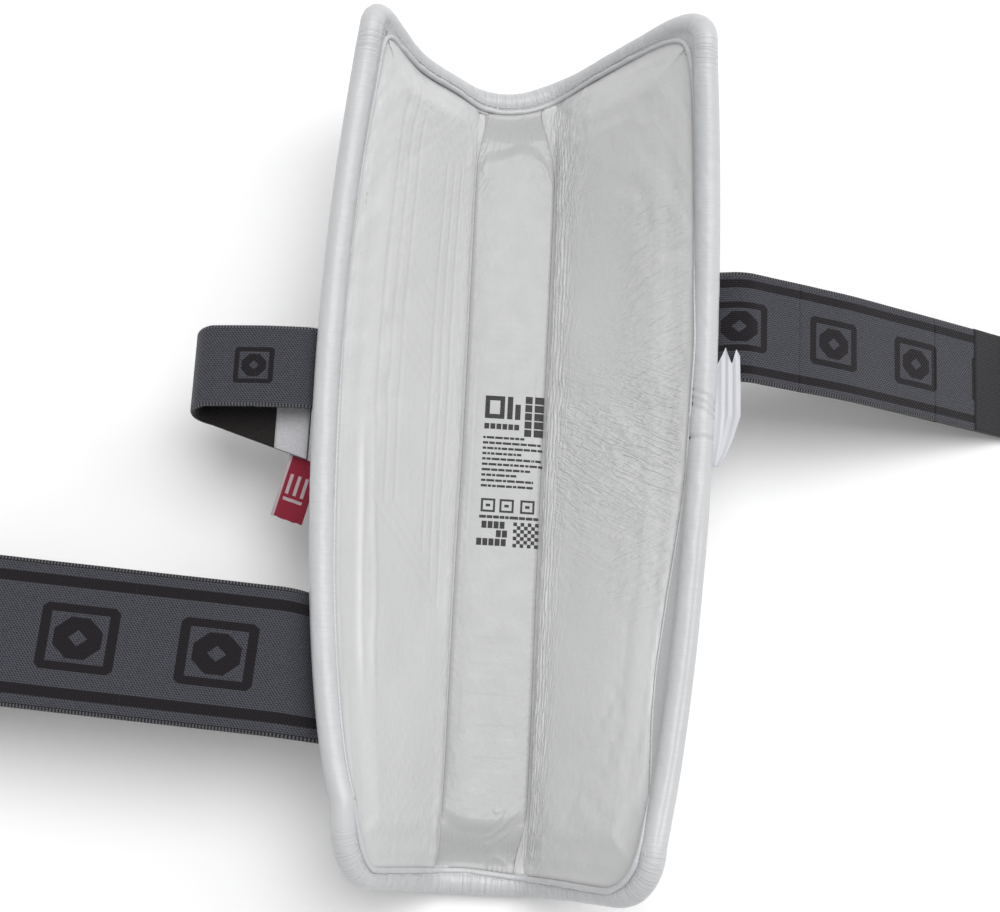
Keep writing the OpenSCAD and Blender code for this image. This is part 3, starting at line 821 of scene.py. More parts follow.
def hemmed(points, s, v):
    """Points near the rim drawn out or in, so that their border is the lining's turned edge."""
    edge = from_rim(s, v)
    near = edge < HEM_ZONE
    p = points[near]
    station = nearest_station(p)
    pull = (1 - edge[near] / HEM_ZONE) ** 1.7
    out = -HEM_IN[station]
    rise = np.where(out > 0, shoulder(out) - RIM_T + 0.25, 0.45)
    lift = (1 - edge[near] / HEM_ZONE) ** 3
    drawn = p + RIM_OUT[station] * (out * pull)[:, None] + RIM_UP[station] * (rise * lift)[:, None]
    drawn += HEM_EASE[station] * pull[:, None]
    result = points.copy()
    result[near] = drawn
    return result


EASE = 4.5  # half the width over which the fold along the ridge's edge is rounded


def lining_base(s, v):
    """The lining's plain surface, eased where the wings rise from the ridge."""
    plain = layer(s, v, depth(s, v, 4))
    place, side = over(s), by_side(np.asarray(s), LEFT, RIGHT)
    total, weights = 0 * plain, 0.0
    for shift in np.linspace(-EASE, EASE, 7):
        weight = 1.2 - (shift / EASE) ** 2
        at = side * s_at(np.clip(place + shift, 0, over(2)))
        total = total + weight * layer(at, v, depth(at, v, 4))
        weights += weight
    near = 1 - step(np.abs(place - RIDGE), EASE * 0.7, EASE * 1.6)
    near = near * step(1 - np.abs(v), 0, 8 / HALF_L)
    eased = total / weights
    eased[..., 1] = plain[..., 1]
    return plain + (eased - plain) * near[..., None]


def right_creases(h, w, y, edge, open_field, away_from_ends):
    """Adds the right wing's creases to the height h and says where finer ones lie. w is the
    distance from the seam, y the place along the pad and edge the distance from the rim."""
    middle, counter = bump(y, 2, 30) * step(w, 5, 14), bump(y, 6, 36) * step(w, 10, 22)
    outer = step(w, 30, 48) * (1 - step(np.abs(y - 20), 64, 92)) * step(edge, 0.5, 3)
    knee = 0.7 * step(y, 80, 104) * (1 - step(w, 22, 36)) * step(w, 2, 6)
    ankle = 0.6 * step(-y, 96, 118) * (1 - step(w, 14, 30)) * step(w, 2, 6)
    folds = {
        "pucker": step(w, 0.6, 2.0) * (1 - step(w, 10, 21)) * away_from_ends,
        "cross": middle * step(edge, 1, 4),
        "counter": counter * step(edge, 1, 4),
        "fan": outer + knee + ankle,
    }
    near = step(w, 1.0, 2.5) * (1 - step(w, 9, 15)) * away_from_ends
    pucker = np.sin(2 * np.pi * w / 1.9 + 2.2 * Noise(41)(w / 6, y / 7))
    pucker *= 0.55 + 0.45 * Noise(43)(w / 2.4, y / 13)
    h += 0.2 * near * pucker
    fans = creases(w, y, 72, 26, 2.6, 44) * (1 - step(w, 12, 24)) * step(w, 1, 3)
    h += 0.2 * fans * (0.5 + 0.5 * Noise(45)(w / 20, y / 30))
    # Where they lie, height, angle, length, spacing and seed
    centre = bump(y, -3, 34) * step(w, 6, 16)
    for zone, height, *line in (
        (centre, 0.26, -24, 24, 3.4, 46),
        (centre, 0.15, 32, 16, 2.8, 48),
        (step(w, 32, 48) * (1 - step(np.abs(y - 20), 60, 84)), 0.18, 24, 17, 2.6, 50),
        (step(y, 70, 96) * (1 - step(w, 20, 34)), 0.2, 55, 20, 2.6, 52),
        (step(-y, 60, 90) * open_field, 0.14, 12, 22, 4.2, 54),
    ):
        h += height * zone * creases(w, y, *line)
    h += 0.25 * bump(y - 0.32 * (w - 50), 4, 2.2) * step(w, 40, 60)
    return folds


def left_creases(h, groove_shade, w, y, open_field):
    """Adds the left wing's pressed lines and dots, its two long folds and its soft creases to
    the height, and paints the shade of the lines and dots into the darkening."""
    lines = np.zeros_like(w)
    for low, high in ((28, 128), (-40, 62)):
        for inset in (0, 5.5, 11):
            lean = 0.8 * (w - 32)
            gap = np.minimum(y - (low + inset + lean), high - inset + lean - y)
            gap = np.minimum(gap, np.minimum(w - 14 - inset, 54 - inset - w))
            lines += bump(gap, 0, 0.8)
    lines = np.clip(lines, 0, 1) * open_field
    dots = np.maximum(np.cos(2 * np.pi * w / 5.2) * np.cos(2 * np.pi * y / 5.2), 0) ** 3
    dots = dots * open_field * (step(y, 66, 84) + step(-y, 92, 108) * 0.8)
    h += 0.13 * dots - 0.2 * lines
    # Painted shade: the pressed lines and dots are also darkened in colour
    groove_shade += 0.05 * lines + 0.05 * dots
    for place, width, height in ((59.5, 1.0, 0.42), (53.5, 1.3, 0.3)):
        line = w - place - 1.6 * Noise(61)(0 * y + place, y / 26)
        reach = step(14 - y, 0, 30) * step(y + 96, 0, 22)
        h += reach * height * (bump(line, 0, width) - 0.5 * bump(line, 2.2, 1.3))
    soft = creases(w, y, 84, 40, 5.5, 63) * step(w, 8, 18) * step(54 - w, 0, 10)
    h += 0.06 * soft * step(40 - y, 0, 60)
    h += 0.12 * creases(w, y, 60, 16, 3.0, 65) * (1 - step(w, 8, 18)) * step(w, 2, 4)


def wing_relief(side, s, v):
    """Height of the wing panel's relief over the plain lining, and its marks: the painted shade in
    its grooves and where the fine creases of LINING_FOLDS lie."""
    w = over(s) - over(seam_s(side, v))
    y = v * HALF_L
    edge = from_rim(s, v)
    open_field = step(edge, 5, 12) * step(w, 2, 7)
    away_from_ends = step(0.985 - np.abs(v), 0, 0.03)
    fine = Noise(31 + side)
    h = -0.45 * bump(w, 0, 1.0) - 0.2 * bump(w, 0, 4.0) + 0.45 * bump(w, 5, 4.5)
    h += 0.35 * bump(edge, 4.5, 3.0) + 0.28 * Noise(21 + side)(w / 17, y / 24) * open_field
    h += 0.035 * fine(w / 1.6, y / 1.9) + 0.02 * fine(w / 0.8, y / 0.9)
    # Painted shade: darker along the centre seam and along the rim, where the lining meets the roll
    groove_shade = 0.3 * bump(w, 0, 0.45) + (0.8 if side == RIGHT else 0.28) * bump(edge, 0, 0.7)
    if side == RIGHT:
        folds = right_creases(h, w, y, edge, open_field, away_from_ends)
    else:
        left_creases(h, groove_shade, w, y, open_field)
        pucker = 0.45 * step(w, 0.6, 2.0) * (1 - step(w, 5, 12)) * away_from_ends
        folds = {"pucker": pucker, "cross": 0 * w, "counter": 0 * w, "fan": 0 * w}
    return h, {"groove_shade": np.clip(groove_shade, 0, 1), **folds}


# The simulated cloth: one row in so many is simulated, for so many frames, and it swells so far
PUFF_STRIDE, PUFF_FRAMES, PUFF_CAP = 5, 20, 1.1


def puffed(points, normals):
    """How far a cloth held along its border is blown up, in millimetres, by simulation."""
    ni, nj = points.shape[:2]
    rows = np.unique(np.append(np.arange(0, ni, PUFF_STRIDE), ni - 1))
    columns = np.unique(np.append(np.arange(0, nj, PUFF_STRIDE), nj - 1))
    cloth_at, up = points[np.ix_(rows, columns)], normals[np.ix_(rows, columns)]
    index = np.arange(len(rows) * len(columns)).reshape(len(rows), len(columns))
    quads = np.stack([index[:-1, :-1], index[1:, :-1], index[1:, 1:], index[:-1, 1:]], -1)
    quads = quads.reshape(-1, 4)
    helper = mesh_object("puff_helper", cloth_at.reshape(-1, 3), quads)
    facing = np.array(helper.data.polygons[len(quads) // 2].normal)
    if facing @ up.reshape(-1, 3)[quads[len(quads) // 2, 0]] < 0:
        helper.data.flip_normals()
    border = np.unique(np.concatenate([index[0], index[-1], index[:, 0], index[:, -1]]))
    helper.vertex_groups.new(name="held").add(border.tolist(), 1.0, "REPLACE")
    cloth = helper.modifiers.new("cloth", "CLOTH")
    cloth.settings.quality = 8
    cloth.settings.mass = 0.002
    cloth.settings.vertex_group_mass = "held"
    cloth.settings.use_pressure = True
    cloth.settings.uniform_pressure_force = 4
    cloth.settings.shrink_min = -0.002
    cloth.settings.effector_weights.gravity = 0
    cloth.point_cache.frame_start, cloth.point_cache.frame_end = 1, PUFF_FRAMES
    for frame_number in range(1, PUFF_FRAMES + 1):
        bpy.context.scene.frame_set(frame_number)
    done = helper.evaluated_get(bpy.context.evaluated_depsgraph_get())
    co = np.zeros(index.size * 3)
    done.data.vertices.foreach_get("co", co)
    swell = ((co.reshape(cloth_at.shape) / MM - cloth_at) * up).sum(-1)
    bpy.data.objects.remove(helper)
    bpy.context.scene.frame_set(1)
    swell = PUFF_CAP * np.tanh(np.maximum(swell, 0) / PUFF_CAP)
    along = np.array([np.interp(np.arange(nj), columns, line) for line in swell])
    return np.array([np.interp(np.arange(ni), rows, line) for line in along.T]).T


def wing_panel(side):
    """The wing's leather panel, from the centre seam to the piping."""
    t = np.linspace(0, 1, 150)
    t = 0.45 * t + 0.55 * (0.35 * t**2 + 0.65 * (1 - np.cos(np.pi * t)) / 2)
    t, v = grid(t, rounded(330, 0.35))
    seam = over(seam_s(side, v))
    s = side * s_at(seam + (over(2) - seam) * t)
    relief, marks = wing_relief(side, s, v)
    base = lining_base(s, v)
    normal = grid_normals(base)
    normal *= np.sign((normal * stack_dir(s, v)).sum(-1, keepdims=True))
    share = step(over(s) - seam, 0, 4)[..., None]
    normal = unit(Z * (1 - share) + normal * share)
    base = hemmed(base, s, v)
    high = base + normal * (relief + puffed(base, normal))[..., None]
    low = high - normal * PANEL_T
    uv = np.stack([over(s) - RIDGE, v * HALF_L], -1)
    if side == LEFT:
        high, low, uv = high[::-1], low[::-1], uv[::-1]
        marks = {key: values[::-1] for key, values in marks.items()}
    return slab("lining_panel_" + ("left" if side == LEFT else "right"), high, low, uv, marks)


BAR_TOP, BAR_BOTTOM = 128, -131  # ends of the foam bar under the centre panel


def centre_relief(x, v, half):
    """The centre panel: a long foam bar with arched ends, lower and puckered beyond it."""
    y = v * HALF_L
    edge = half - np.abs(x)
    top = BAR_TOP - 9 * (x / RIDGE) ** 2 + 1.2 * np.sin(x / 3)
    bottom = BAR_BOTTOM + 4 * (x / RIDGE) ** 2
    bar = step(top - y, -0.8, 5.5) * step(y - bottom, -0.8, 5.0)
    crown = 1 - np.clip(np.abs(x) / half, 0, 1) ** 3.2
    h = -0.15 + 1.15 * bar * crown**0.75 - 0.35 * bump(edge, 0, 1.0)
    rib = np.sin(2 * np.pi * x / 1.6 + 2.5 * Noise(71)(x / 6, y / 5))
    rib *= 0.5 + 0.5 * Noise(73)(x / 3, y / 4)
    ankle_end, knee_end = step(-y, 118, 126), step(y, 116, 124)
    h += 0.3 * rib * bump(y, BAR_BOTTOM - 3.0, 3.2) * (0.5 + 0.5 * np.abs(Noise(74)(x / 4, 0 * y)))
    h += 0.3 * ankle_end * step(x, -3, 6) * creases(x, y, 52, 9, 2.0, 76)
    h += 0.16 * (1 - bar) * knee_end * creases(x, y, 78, 10, 2.4, 75)
    for sign, seed in ((-1, 79), (1, 83)):
        corner = bump(x, sign * 12, 6.5) * bump(y, 118, 11)
        h += 0.3 * corner * creases(x, y, 90 + sign * 30, 11, 1.9, seed)
    h += 0.05 * bump(edge, 0, 2.0) * np.sin(2 * np.pi * y / 3.1 + 3 * Noise(85)(x / 5, y / 9))
    h += 0.16 * Noise(87)(x / 9, y / 26) + 0.03 * Noise(89)(x / 1.4, y / 1.7)
    # What is printed on the foam presses through in faint bars
    for y_low, y_high, pitch in ((36, 62, 2.9), (68, 98, 6.5), (-112, -62, 11)):
        printed = step(y, y_low, y_low + 1) * step(y_high - y, 0, 1) * step(9 - np.abs(x - 1), 0, 1)
        h -= 0.06 * printed * (np.sin(2 * np.pi * y / pitch) > 0.2)
    h -= 0.12 * bar * np.exp(-(((y - 8) / 34) ** 8)) * (np.abs(x) < 11)
    arch = bump(top - y, -0.2, 1.0) + 0.35 * bump(y - bottom, -0.2, 1.0)
    rim = (1 - np.abs(v)) * HALF_L
    # Painted shade: darker along the seams, at the foam bar's arched ends and along the rim
    groove_shade = 0.3 * bump(edge, 0, 0.4) + 0.22 * arch * bar + 0.8 * bump(rim, 0, 0.7)
    return h * step(rim, 0, 2.5), np.clip(groove_shade, 0, 1)


def seam_places(v):
    """Where the centre panel's two seams lie, from the ridge's middle."""
    return -over(seam_s(LEFT, v)), over(seam_s(RIGHT, v))


def centre_panel():
    """The leather panel between the two seams."""
    a, v = grid(np.linspace(0, 1, 92), rounded(520, 0.15))
    left, right = seam_places(v)
    x = left + (right - left) * a
    s = np.sign(x) * s_at(np.abs(x))
    relief, groove_shade = centre_relief(x - (right + left) / 2, v, (right - left) / 2)
    high = hemmed(lining_base(s, v), s, v) + Z * relief[..., None]
    uv = np.stack([x, v * HALF_L], -1)
    return slab("lining_panel_centre", high, high - Z * PANEL_T, uv, {"groove_shade": groove_shade})


def lining_height(x, y):
    """Top of the centre panel at a place, for what lies on it."""
    v = y / HALF_L
    left, right = seam_places(v)
    relief, _ = centre_relief(x - (right + left) / 2, v, (right - left) / 2)
    return lining_base(x / RIDGE, v)[..., 2] + relief


# ---------------------------------------------------------------- foam


def soft_pad(name, first, last, columns):
    """A crowned foam pad whose sides pull in along its seams."""
    a, v = grid(np.linspace(0, 1, columns), rounded(90, 0.5) * 0.985)
    s = first + (last - first) * (0.012 + 0.976 * a)
    low_h, high_h = depth(s, v, 2) + 0.12, depth(s, v, 3) - 0.2
    edge = np.minimum(np.minimum(a, 1 - a) * abs(last - first) * 60, (1 - np.abs(v)) * HALF_L)
    crown = 1 - np.exp(-((edge / 3.0) ** 2))
    high_h = low_h + 0.25 + (high_h - low_h - 0.25) * (0.35 + 0.65 * crown)
    uv = np.stack([s * 40, v * HALF_L], -1)
    return slab(name, layer(s, v, high_h), layer(s, v, low_h), uv)


def core():
    """The shock-absorbing foam, with relief slots along the ridge and rounded edges."""
    s, v = grid(across_steps(30, 26), rounded(150, 0.5) * 0.993)
    s = np.clip(s, -1.985, 1.985)
    low_h, high_h = depth(s, v, 1) + 0.1, depth(s, v, 2) - 0.15
    y = v * HALF_L
    rows = 0.7 * bump(np.mod(y + 20, 40), 20, 1.2) * (np.abs(s) > 1.03)
    slots = np.clip(bump(np.abs(s) - 1, 0, 0.02) + rows, 0, 1)
    high_h = high_h - 1.6 * slots * step(from_rim(s, v), 3, 12)
    uv = np.stack([s * 40, y], -1)
    return slab("core", layer(s, v, high_h), layer(s, v, low_h), uv)


# ---------------------------------------------------------------- edge roll


def place_on_rim(out, up):
    """Points round the rim at a distance out from its foot and a height above it."""
    return RIM_FOOT + RIM_OUT * np.reshape(out, (-1, 1)) + RIM_UP * np.reshape(up, (-1, 1))


WRAP = 136  # angle at which the roll's leather leaves the cord, over its inner side
ROLL_CORNER = np.clip(1 - ON_LEFT - ON_RIGHT - 0.7 * ON_KNEE - 0.7 * ON_ANKLE, 0, 1)
NEAR_TAB = ON_RIGHT * step(RIM_Y, 0, 5) * step(32 - RIM_Y, 0, 6)


def roll_section(angle):
    """The roll's radius at each station, at an angle round the cord, and the painted shade in its
    dips there.
    """
    flat = 0 * RIM_U
    noise, fine, broad = Noise(103), Noise(105), Noise(107)
    inner = step(flat + angle, 20, 100)
    pucker = np.abs(noise(RIM_U / 1.7 + 0.012 * angle * ROLL_CORNER, angle / 60)) * -0.22 * inner
    pucker = pucker * (0.35 + ROLL_CORNER + 0.5 * NEAR_TAB)
    pucker += 0.05 * fine(RIM_U / 0.9, angle / 12) + 0.07 * broad(RIM_U / 4.2, angle / 34)
    pucker -= 0.28 * creases(RIM_U, 0.08 * angle + flat, 62, 10, 1.5, 109) * ROLL_CORNER * inner
    pucker *= JOIN_FADE
    swell = 0.12 * broad(RIM_U / 26, flat) * JOIN_FADE
    # Beside the edge tab: the binding's join, a bulge and three folds
    join = -0.45 * bump(RIM_Y, 4, 0.7) * ON_RIGHT
    bulge = 0.35 * bump(RIM_Y, 9.5, 3.6) * ON_RIGHT * inner
    places = RIM_Y - 0.03 * (angle - 60)
    folds = -0.4 * sum(bump(places, y, 0.75) for y in (14, 16.6, 19.3)) * ON_RIGHT
    sewn = -0.42 * bump(angle, 24, 8) * ON_RIGHT * step(-RIM_Y, 12, 34)
    r = ROLL_R + np.minimum(swell + pucker + join + sewn + folds + bulge, 0.5)
    # Painted shade: darker where the puckers, the binding's join and the folds sink in
    return r, np.clip(-(pucker + join + folds) / 0.6, 0, 1) * 0.25


def edge_roll():
    """The padded edge: leather drawn round a foam cord and stitched down on the lining."""
    flat = 0 * RIM_U
    rows = [(place_on_rim(flat + 0.12, flat), flat)]
    for a in np.linspace(-90, WRAP, 32):
        c, s = math.cos(math.radians(a)), math.sin(math.radians(a))
        r, mark = roll_section(a)
        if s < -0.5:
            r = np.minimum(r, ROLL_R)
        rows.append((place_on_rim(ROLL_SHIFT + r * c, ROLL_R + r * s), mark))
    # From there the leather lies down on the padding, as far as the lip, with a little painted
    # shade on it
    leave = ROLL_SHIFT + ROLL_R * math.cos(math.radians(WRAP))
    top, rest = ROLL_R + ROLL_R * math.sin(math.radians(WRAP)), RIM_T - 0.1
    tuck = 0.1 * Noise(103)(RIM_U / 1.3, flat) * (LIP > 1)
    for f, lift in ((0.25, 0.55), (0.5, 0.22), (0.75, 0.08), (1.0, 0.0)):
        height = rest + (top - rest) * lift + tuck * f
        rows.append((place_on_rim(leave + (-LIP - leave) * f, height), flat + 0.1))
    rows.append((place_on_rim(-LIP, flat + RIM_T - 0.5), flat))
    rows.append((place_on_rim(flat + 0.12, flat + RIM_T - 0.6), flat))
    sections = np.stack([points for points, _ in rows], 1)
    girths = np.linalg.norm(np.diff(sections.mean(0), axis=0, prepend=0), axis=-1)
    uv = np.stack(np.broadcast_arrays(RIM_U[:, None], np.cumsum(girths)[None, :]), -1)
    obj = ring("edge_roll", sections, uv)
    # Painted shade in the roll's dips and on its flat strip, as an attribute the leather darkens by
    set_attribute(obj, "groove_shade", np.stack([mark for _, mark in rows], 1))
    gather = np.clip(0.25 + ON_ANKLE + 0.6 * ON_KNEE + ROLL_CORNER, 0, 1) * JOIN_FADE
    set_attribute(obj, "gather", gather[:, None] + 0 * sections[..., 0])
    return obj


def round_cord(out, up, r, steps, stride=1):
    """A round cord that follows the rim, at a place out from its foot and a height above it."""
    angles = np.radians(np.arange(0, 360, 360 / steps))
    rows = [place_on_rim(out + r * math.cos(a), up + r * math.sin(a)) for a in angles]
    sections = np.stack(rows, 1)[::stride]
    return sections, np.broadcast_arrays(RIM_U[::stride, None], angles[None, :])


def filler_cord():
    """The foam cord inside the edge roll."""
    r = 2.9
    flat = 0 * RIM_U
    sections, (along, angle) = round_cord(ROLL_SHIFT + flat, ROLL_R + flat, r, 15, 3)
    return ring("edge_filler_cord", sections, np.stack([along, angle * r], -1))


def piping():
    """The bead sewn in where the roll meets the lining: full at the ends, flatter at the sides."""
    r = around(0.4 + 0.6 * ON_KNEE + 0.65 * ON_ANKLE + 0.15 * ON_LEFT, 4)
    r = r * (1 + 0.1 * Noise(111)(RIM_U / 3.5, 0 * RIM_U) * JOIN_FADE)
    out = -HEM_IN + 0.85 * r
    rest = np.where(out > 0, shoulder(out), RIM_T)
    sections, uv = round_cord(out, rest + 0.3 * r, r, 12)
    sections = sections + HEM_EASE[:, None, :]
    obj = ring("edge_piping_bead", sections, np.stack(uv, -1))
    set_attribute(obj, "groove_shade", np.zeros(sections.shape[:2]))
    set_attribute(obj, "gather", np.full(sections.shape[:2], 0.5))
    return obj


def rim_stitches(name, out, height, keep):
    """A line of stitches along the rim, where keep is above a half."""
    pitch = 2.7
    points = place_on_rim(out, height)
    rows = []
    u = 0.0
    while u < RIM_U[-1] - pitch:
        i, j = np.searchsorted(RIM_U, (u, u + 0.78 * pitch))
        if min(keep[i], keep[j]) > 0.5:
            rows.append((points[i], points[j], RIM_UP[i]))
        u += pitch
    return stitches(name, rows, 0.2, 0.12)


def seam_stitches(name, side):
    """Stitches sunk in the seam between the centre panel and a wing."""
    pitch = 2.9
    rows = []
    for y in np.arange(-134, 131, pitch):
        v = np.array([y + 0.3, y + 0.8 * pitch]) / HALF_L
        s = seam_s(side, v)
        rows.append((*layer(s, v, depth(s, v, 4) - 1.0), stack_dir(s, v)[0]))
    return stitches(name, rows, 0.24, 0.1)


# ---------------------------------------------------------------- straps


def rounded_path(rows, cuts, spacing):
    """Rows of points joined straight, with each corner rounded off from so far before it."""
    out = [rows[0]]
    for k in range(1, len(rows)):
        a, b = rows[k - 1], rows[k]
        before = 0 if k == 1 else cuts[k - 1]
        after = 0 if k == len(rows) - 1 else cuts[k]
        length = np.linalg.norm(b - a, axis=-1).mean()
        begin, end = before / length, 1 - after / length
        n = max(1, round((end - begin) * length / spacing))
        for f in np.linspace(begin, end, n + 1)[1:]:
            out.append(a + (b - a) * f)
        if after:
            c = rows[k + 1]
            leave = b + (c - b) * (after / np.linalg.norm(c - b, axis=-1).mean())
            arrive = out[-1]
            m = max(3, round(2 * after / spacing))
            for f in np.arange(1, m + 1) / m:
                out.append((1 - f) ** 2 * arrive + 2 * f * (1 - f) * b + f * f * leave)
    return np.array(out)


def lengths(grid):
    """Distance along the middle of a band."""
    middle = grid[:, grid.shape[1] // 2]
    return np.concatenate([[0], np.cumsum(np.linalg.norm(np.diff(middle, axis=0), axis=-1))])


def band_rows(middle, axis, across):
    """A row of points across a band, through its middle point."""
    return middle + np.outer(across, axis)


def edge_places(width, spacing):
    """Places across a band, closer together at its edges."""
    half = width / 2
    inner = np.linspace(-half + 1.2, half - 1.2, round(width / spacing))
    rim = half - np.array([0, 0.25, 0.65])
    return np.concatenate([-rim, inner, rim[::-1]])


def root_rows(side, y, across):
    """Rows on the outer face where a band is sewn down."""
    places = (0.66, 0.74, 0.82, 0.9)
    v = (y + across) / HALF_L
    return [layer(side * (1 + t) + 0 * v, v, 0 * v - ROOT_GAP - BAND_T / 2) for t in places]


TONGUE = 2  # rows of a piece that run on inside the next one


class Band:
    """A woven band along a grid of middle points, from which pieces are cut."""

    def __init__(self, grid, across, thick, up, wave, seed):
        self.along = lengths(grid)
        normals = grid_normals(grid)
        self.normals = normals * np.sign((normals[0, len(across) // 2] * up).sum())
        u = self.along[:, None] + 0 * across[None, :]
        w = across[None, :] + 0 * u
        ripple = wave * (Noise(seed)(u / 31, w / 34) + 0.4 * Noise(seed + 1)(u / 12, w / 17))
        self.grid = grid + self.normals * (ripple * step(u, 22, 40))[..., None]
        inset = w.max() - np.abs(w)
        self.half = thick / 2 * (1 - 0.5 * bump(inset, 0, 0.45))
        self.uv = np.stack([w - w.min(), u], -1)

    def cut(self, name, first, last):
        """A piece from one row to another, with a thin tongue that runs on inside the next."""
        last_row = min(last + TONGUE, len(self.grid) - 1)
        i = slice(first, last_row + 1)
        thin = np.where(np.arange(first, last_row + 1) > last, 0.7, 1.0)[:, None]
        lift = self.normals[i] * (self.half[i] * thin)[..., None]
        high, low = self.grid[i] + lift, self.grid[i] - lift
        return slab(name, high, low, self.uv[i], flat_from=last - first)

    def index(self, point):
        middle = self.grid[:, self.grid.shape[1] // 2]
        return int(np.argmin(np.linalg.norm(middle - point, axis=1)))


def outwards(side, axis):
    """The way a strap runs out, square to its hinge's axis."""
    return np.array([side * axis[1], -side * axis[0], 0.0])


def strap(name, prefix, side, y, width, axis, seed):
    """An elastic strap: its sewn root, run, fall and hook tab, cut in three pieces at rest."""
    across = edge_places(width, 1.3)
    hinge, bend, fold = (joint_mm(prefix + k) for k in ("_strap_swing", "_strap_bend", "_tab_fold"))
    out = outwards(side, axis)
    rows = root_rows(side, y, across)
    rows += [band_rows(p, axis, across) for p in (hinge, bend, fold, fold + out * TAB_L)]
    rows = rounded_path(rows, [0, 1.5, 1.5, 3.0, 4.5, 7.0, 6.0, 0], ROW)
    band = Band(rows, across, BAND_T - 0.15, 0.7 * (Z - side * X), 0.35, seed)
    cuts = [0, band.index((hinge + bend) / 2), band.index((bend + fold) / 2), len(rows) - 1]
    parts = ("_root", "_middle", "_end")
    pieces = [band.cut(name + parts[k], cuts[k], cuts[k + 1]) for k in range(3)]
    run, fall = unit(bend - hinge), unit(fold - bend)
    corners = [(hinge, out, run), (bend, run, fall), (fold, fall, out)]
    return pieces, corners, band


def bend_between(obj, bodies, corner, before, after):
    """Bakes a piece's transform into its mesh. The span from so far before a corner to so far after
    it is reckoned but not used.
    """
    point, enter, leave = corner
    start, end = point - enter * before, point + leave * after
    tuple(start * MM)
    tuple(end * MM)
    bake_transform(obj)


def hook_field(name, prefix, width, axis, side):
    """Rows of small nylon hooks on a woven ground, standing on the tab."""
    out = outwards(side, axis)
    half = width / 2
    a, b = grid(np.arange(5.2, TAB_L - 2.4, 1.9), np.arange(-half + 2.8, half - 2.4, 1.75))
    a = a + 0.45 * (np.arange(a.shape[1]) % 2)[None, :]
    base = joint_mm(prefix + "_tab_fold") + Z * (BAND_T / 2 - 0.05)
    base = base + a.reshape(-1, 1) * out + b.reshape(-1, 1) * axis
    # A hook's own line, out and up from its foot
    path = np.array([(0.0, 0.0), (0.0, 0.5), (0.12, 0.8), (0.38, 0.92), (0.6, 0.78), (0.64, 0.6)])
    last, sides = len(path) - 1, 4
    points, faces = [], []
    for k, origin in enumerate(base):
        lean = out * (1 if k % 2 else -1)
        faces += rod_faces(len(points), last, sides)
        for i, (x, z) in enumerate(path):
            heading = unit(path[min(i + 1, last)] - path[max(i - 1, 0)])
            for q in range(sides):
                w = math.pi / 4 + q * math.pi / 2
                cross = (lean * heading[1] - Z * heading[0]) * math.cos(w) + axis * math.sin(w)
                points.append(origin + lean * x + Z * z + cross * (0.15 - 0.01 * i))
    return closed_mesh(name, points, faces, False)


# ---------------------------------------------------------------- side loop, label and tab


LOOP_W, LOOP_Y, LOOP_REACH, LOOP_FOLD_R, LOOP_SKEW = 29, 21.5, 36, 5.5, 16
LOOP_DROOP, LOOP_TURN, FOLD_SKEW = 8, 183, 0.25
FACING_FROM = 0.7  # share of the returning half at which the felt begins
LABEL_W, LABEL_L, LABEL_ROOT, LABEL_TURN, LABEL_HANG = 11.5, 20, 2.2, 16, 20
FLAP_RISE = 10


def loop_stations():
    """The loop's middle line beyond its hinge: distance out, height and share of the skew."""
    droop = math.radians(LOOP_DROOP)
    rows = [(0.0, 0.0, 0.0)]
    x1, z1 = LOOP_REACH * math.cos(droop), -LOOP_REACH * math.sin(droop)
    for f in np.linspace(0, 1, 26)[1:-1]:
        rows.append((x1 * f, z1 * f + 0.9 * math.sin(math.pi * f), 0.0))
    cx, cz = x1 - LOOP_FOLD_R * math.sin(droop), z1 - LOOP_FOLD_R * math.cos(droop)
    for f in np.linspace(0, 1, 22):
        h = -droop - math.radians(LOOP_TURN) * f
        rows.append((cx - LOOP_FOLD_R * math.sin(h), cz + LOOP_FOLD_R * math.cos(h), FOLD_SKEW * f))
    x2, z2, _ = rows[-1]
    for f in np.linspace(0, 1, 28)[1:]:
        back, sag = (LOOP_REACH - 1) * f, 0.5 * math.sin(math.pi * f)
        share = FOLD_SKEW + (1 - FOLD_SKEW) * f
        rows.append((x2 + back * math.cos(h), z2 + back * math.sin(h) - sag, share))
    return rows, len(rows) - 28


def side_loop():
    """The doubled loop in two pieces, and the felt on its returning half."""
    across = edge_places(LOOP_W, 1.2)
    hinge = joint_mm("side_loop_swing")
    stations, turned = loop_stations()
    rows = root_rows(LEFT, LOOP_Y, across)
    root = rounded_path(rows + [band_rows(hinge, Y, across)], [0, 1.5, 1.5, 3, 0], ROW)
    beyond = [
        band_rows(hinge + np.array([-x, 0, z]), Y, across - share * LOOP_SKEW)
        for x, z, share in stations[1:]
    ]
    rows = np.concatenate([root, np.array(beyond)])
    first, stop = len(root) - 4, len(root) + 4
    for _ in range(3):
        around_it = rows[first - 1 : stop - 1] + 2 * rows[first:stop] + rows[first + 1 : stop + 1]
        rows[first:stop] = around_it / 4
    band = Band(rows, across, BAND_T - 0.1, 0.7 * (X + Z), 0.25, 131)
    first_back, last = len(root) + turned - 1, len(rows) - 1
    cut = len(root) + 12
    pieces = [band.cut("side_loop_root", 0, cut), band.cut("side_loop_fold", cut, last)]
    start = first_back + int(FACING_FROM * (last - first_back))
    n = -band.normals[start:]
    middle = band.grid[start:] + n * (BAND_T / 2 + 0.35)
    wave = 0.15 * Noise(141)(middle[..., 0] / 5, middle[..., 1] / 6)[..., None]
    half = (0.38 - 0.22 * bump(LOOP_W / 2 - np.abs(across), 0, 0.5))[None, :, None]
    felt_high, felt_low = middle + n * (half + wave), middle - n * half
    return pieces, slab("side_loop_felt", felt_high, felt_low, band.uv[start:])


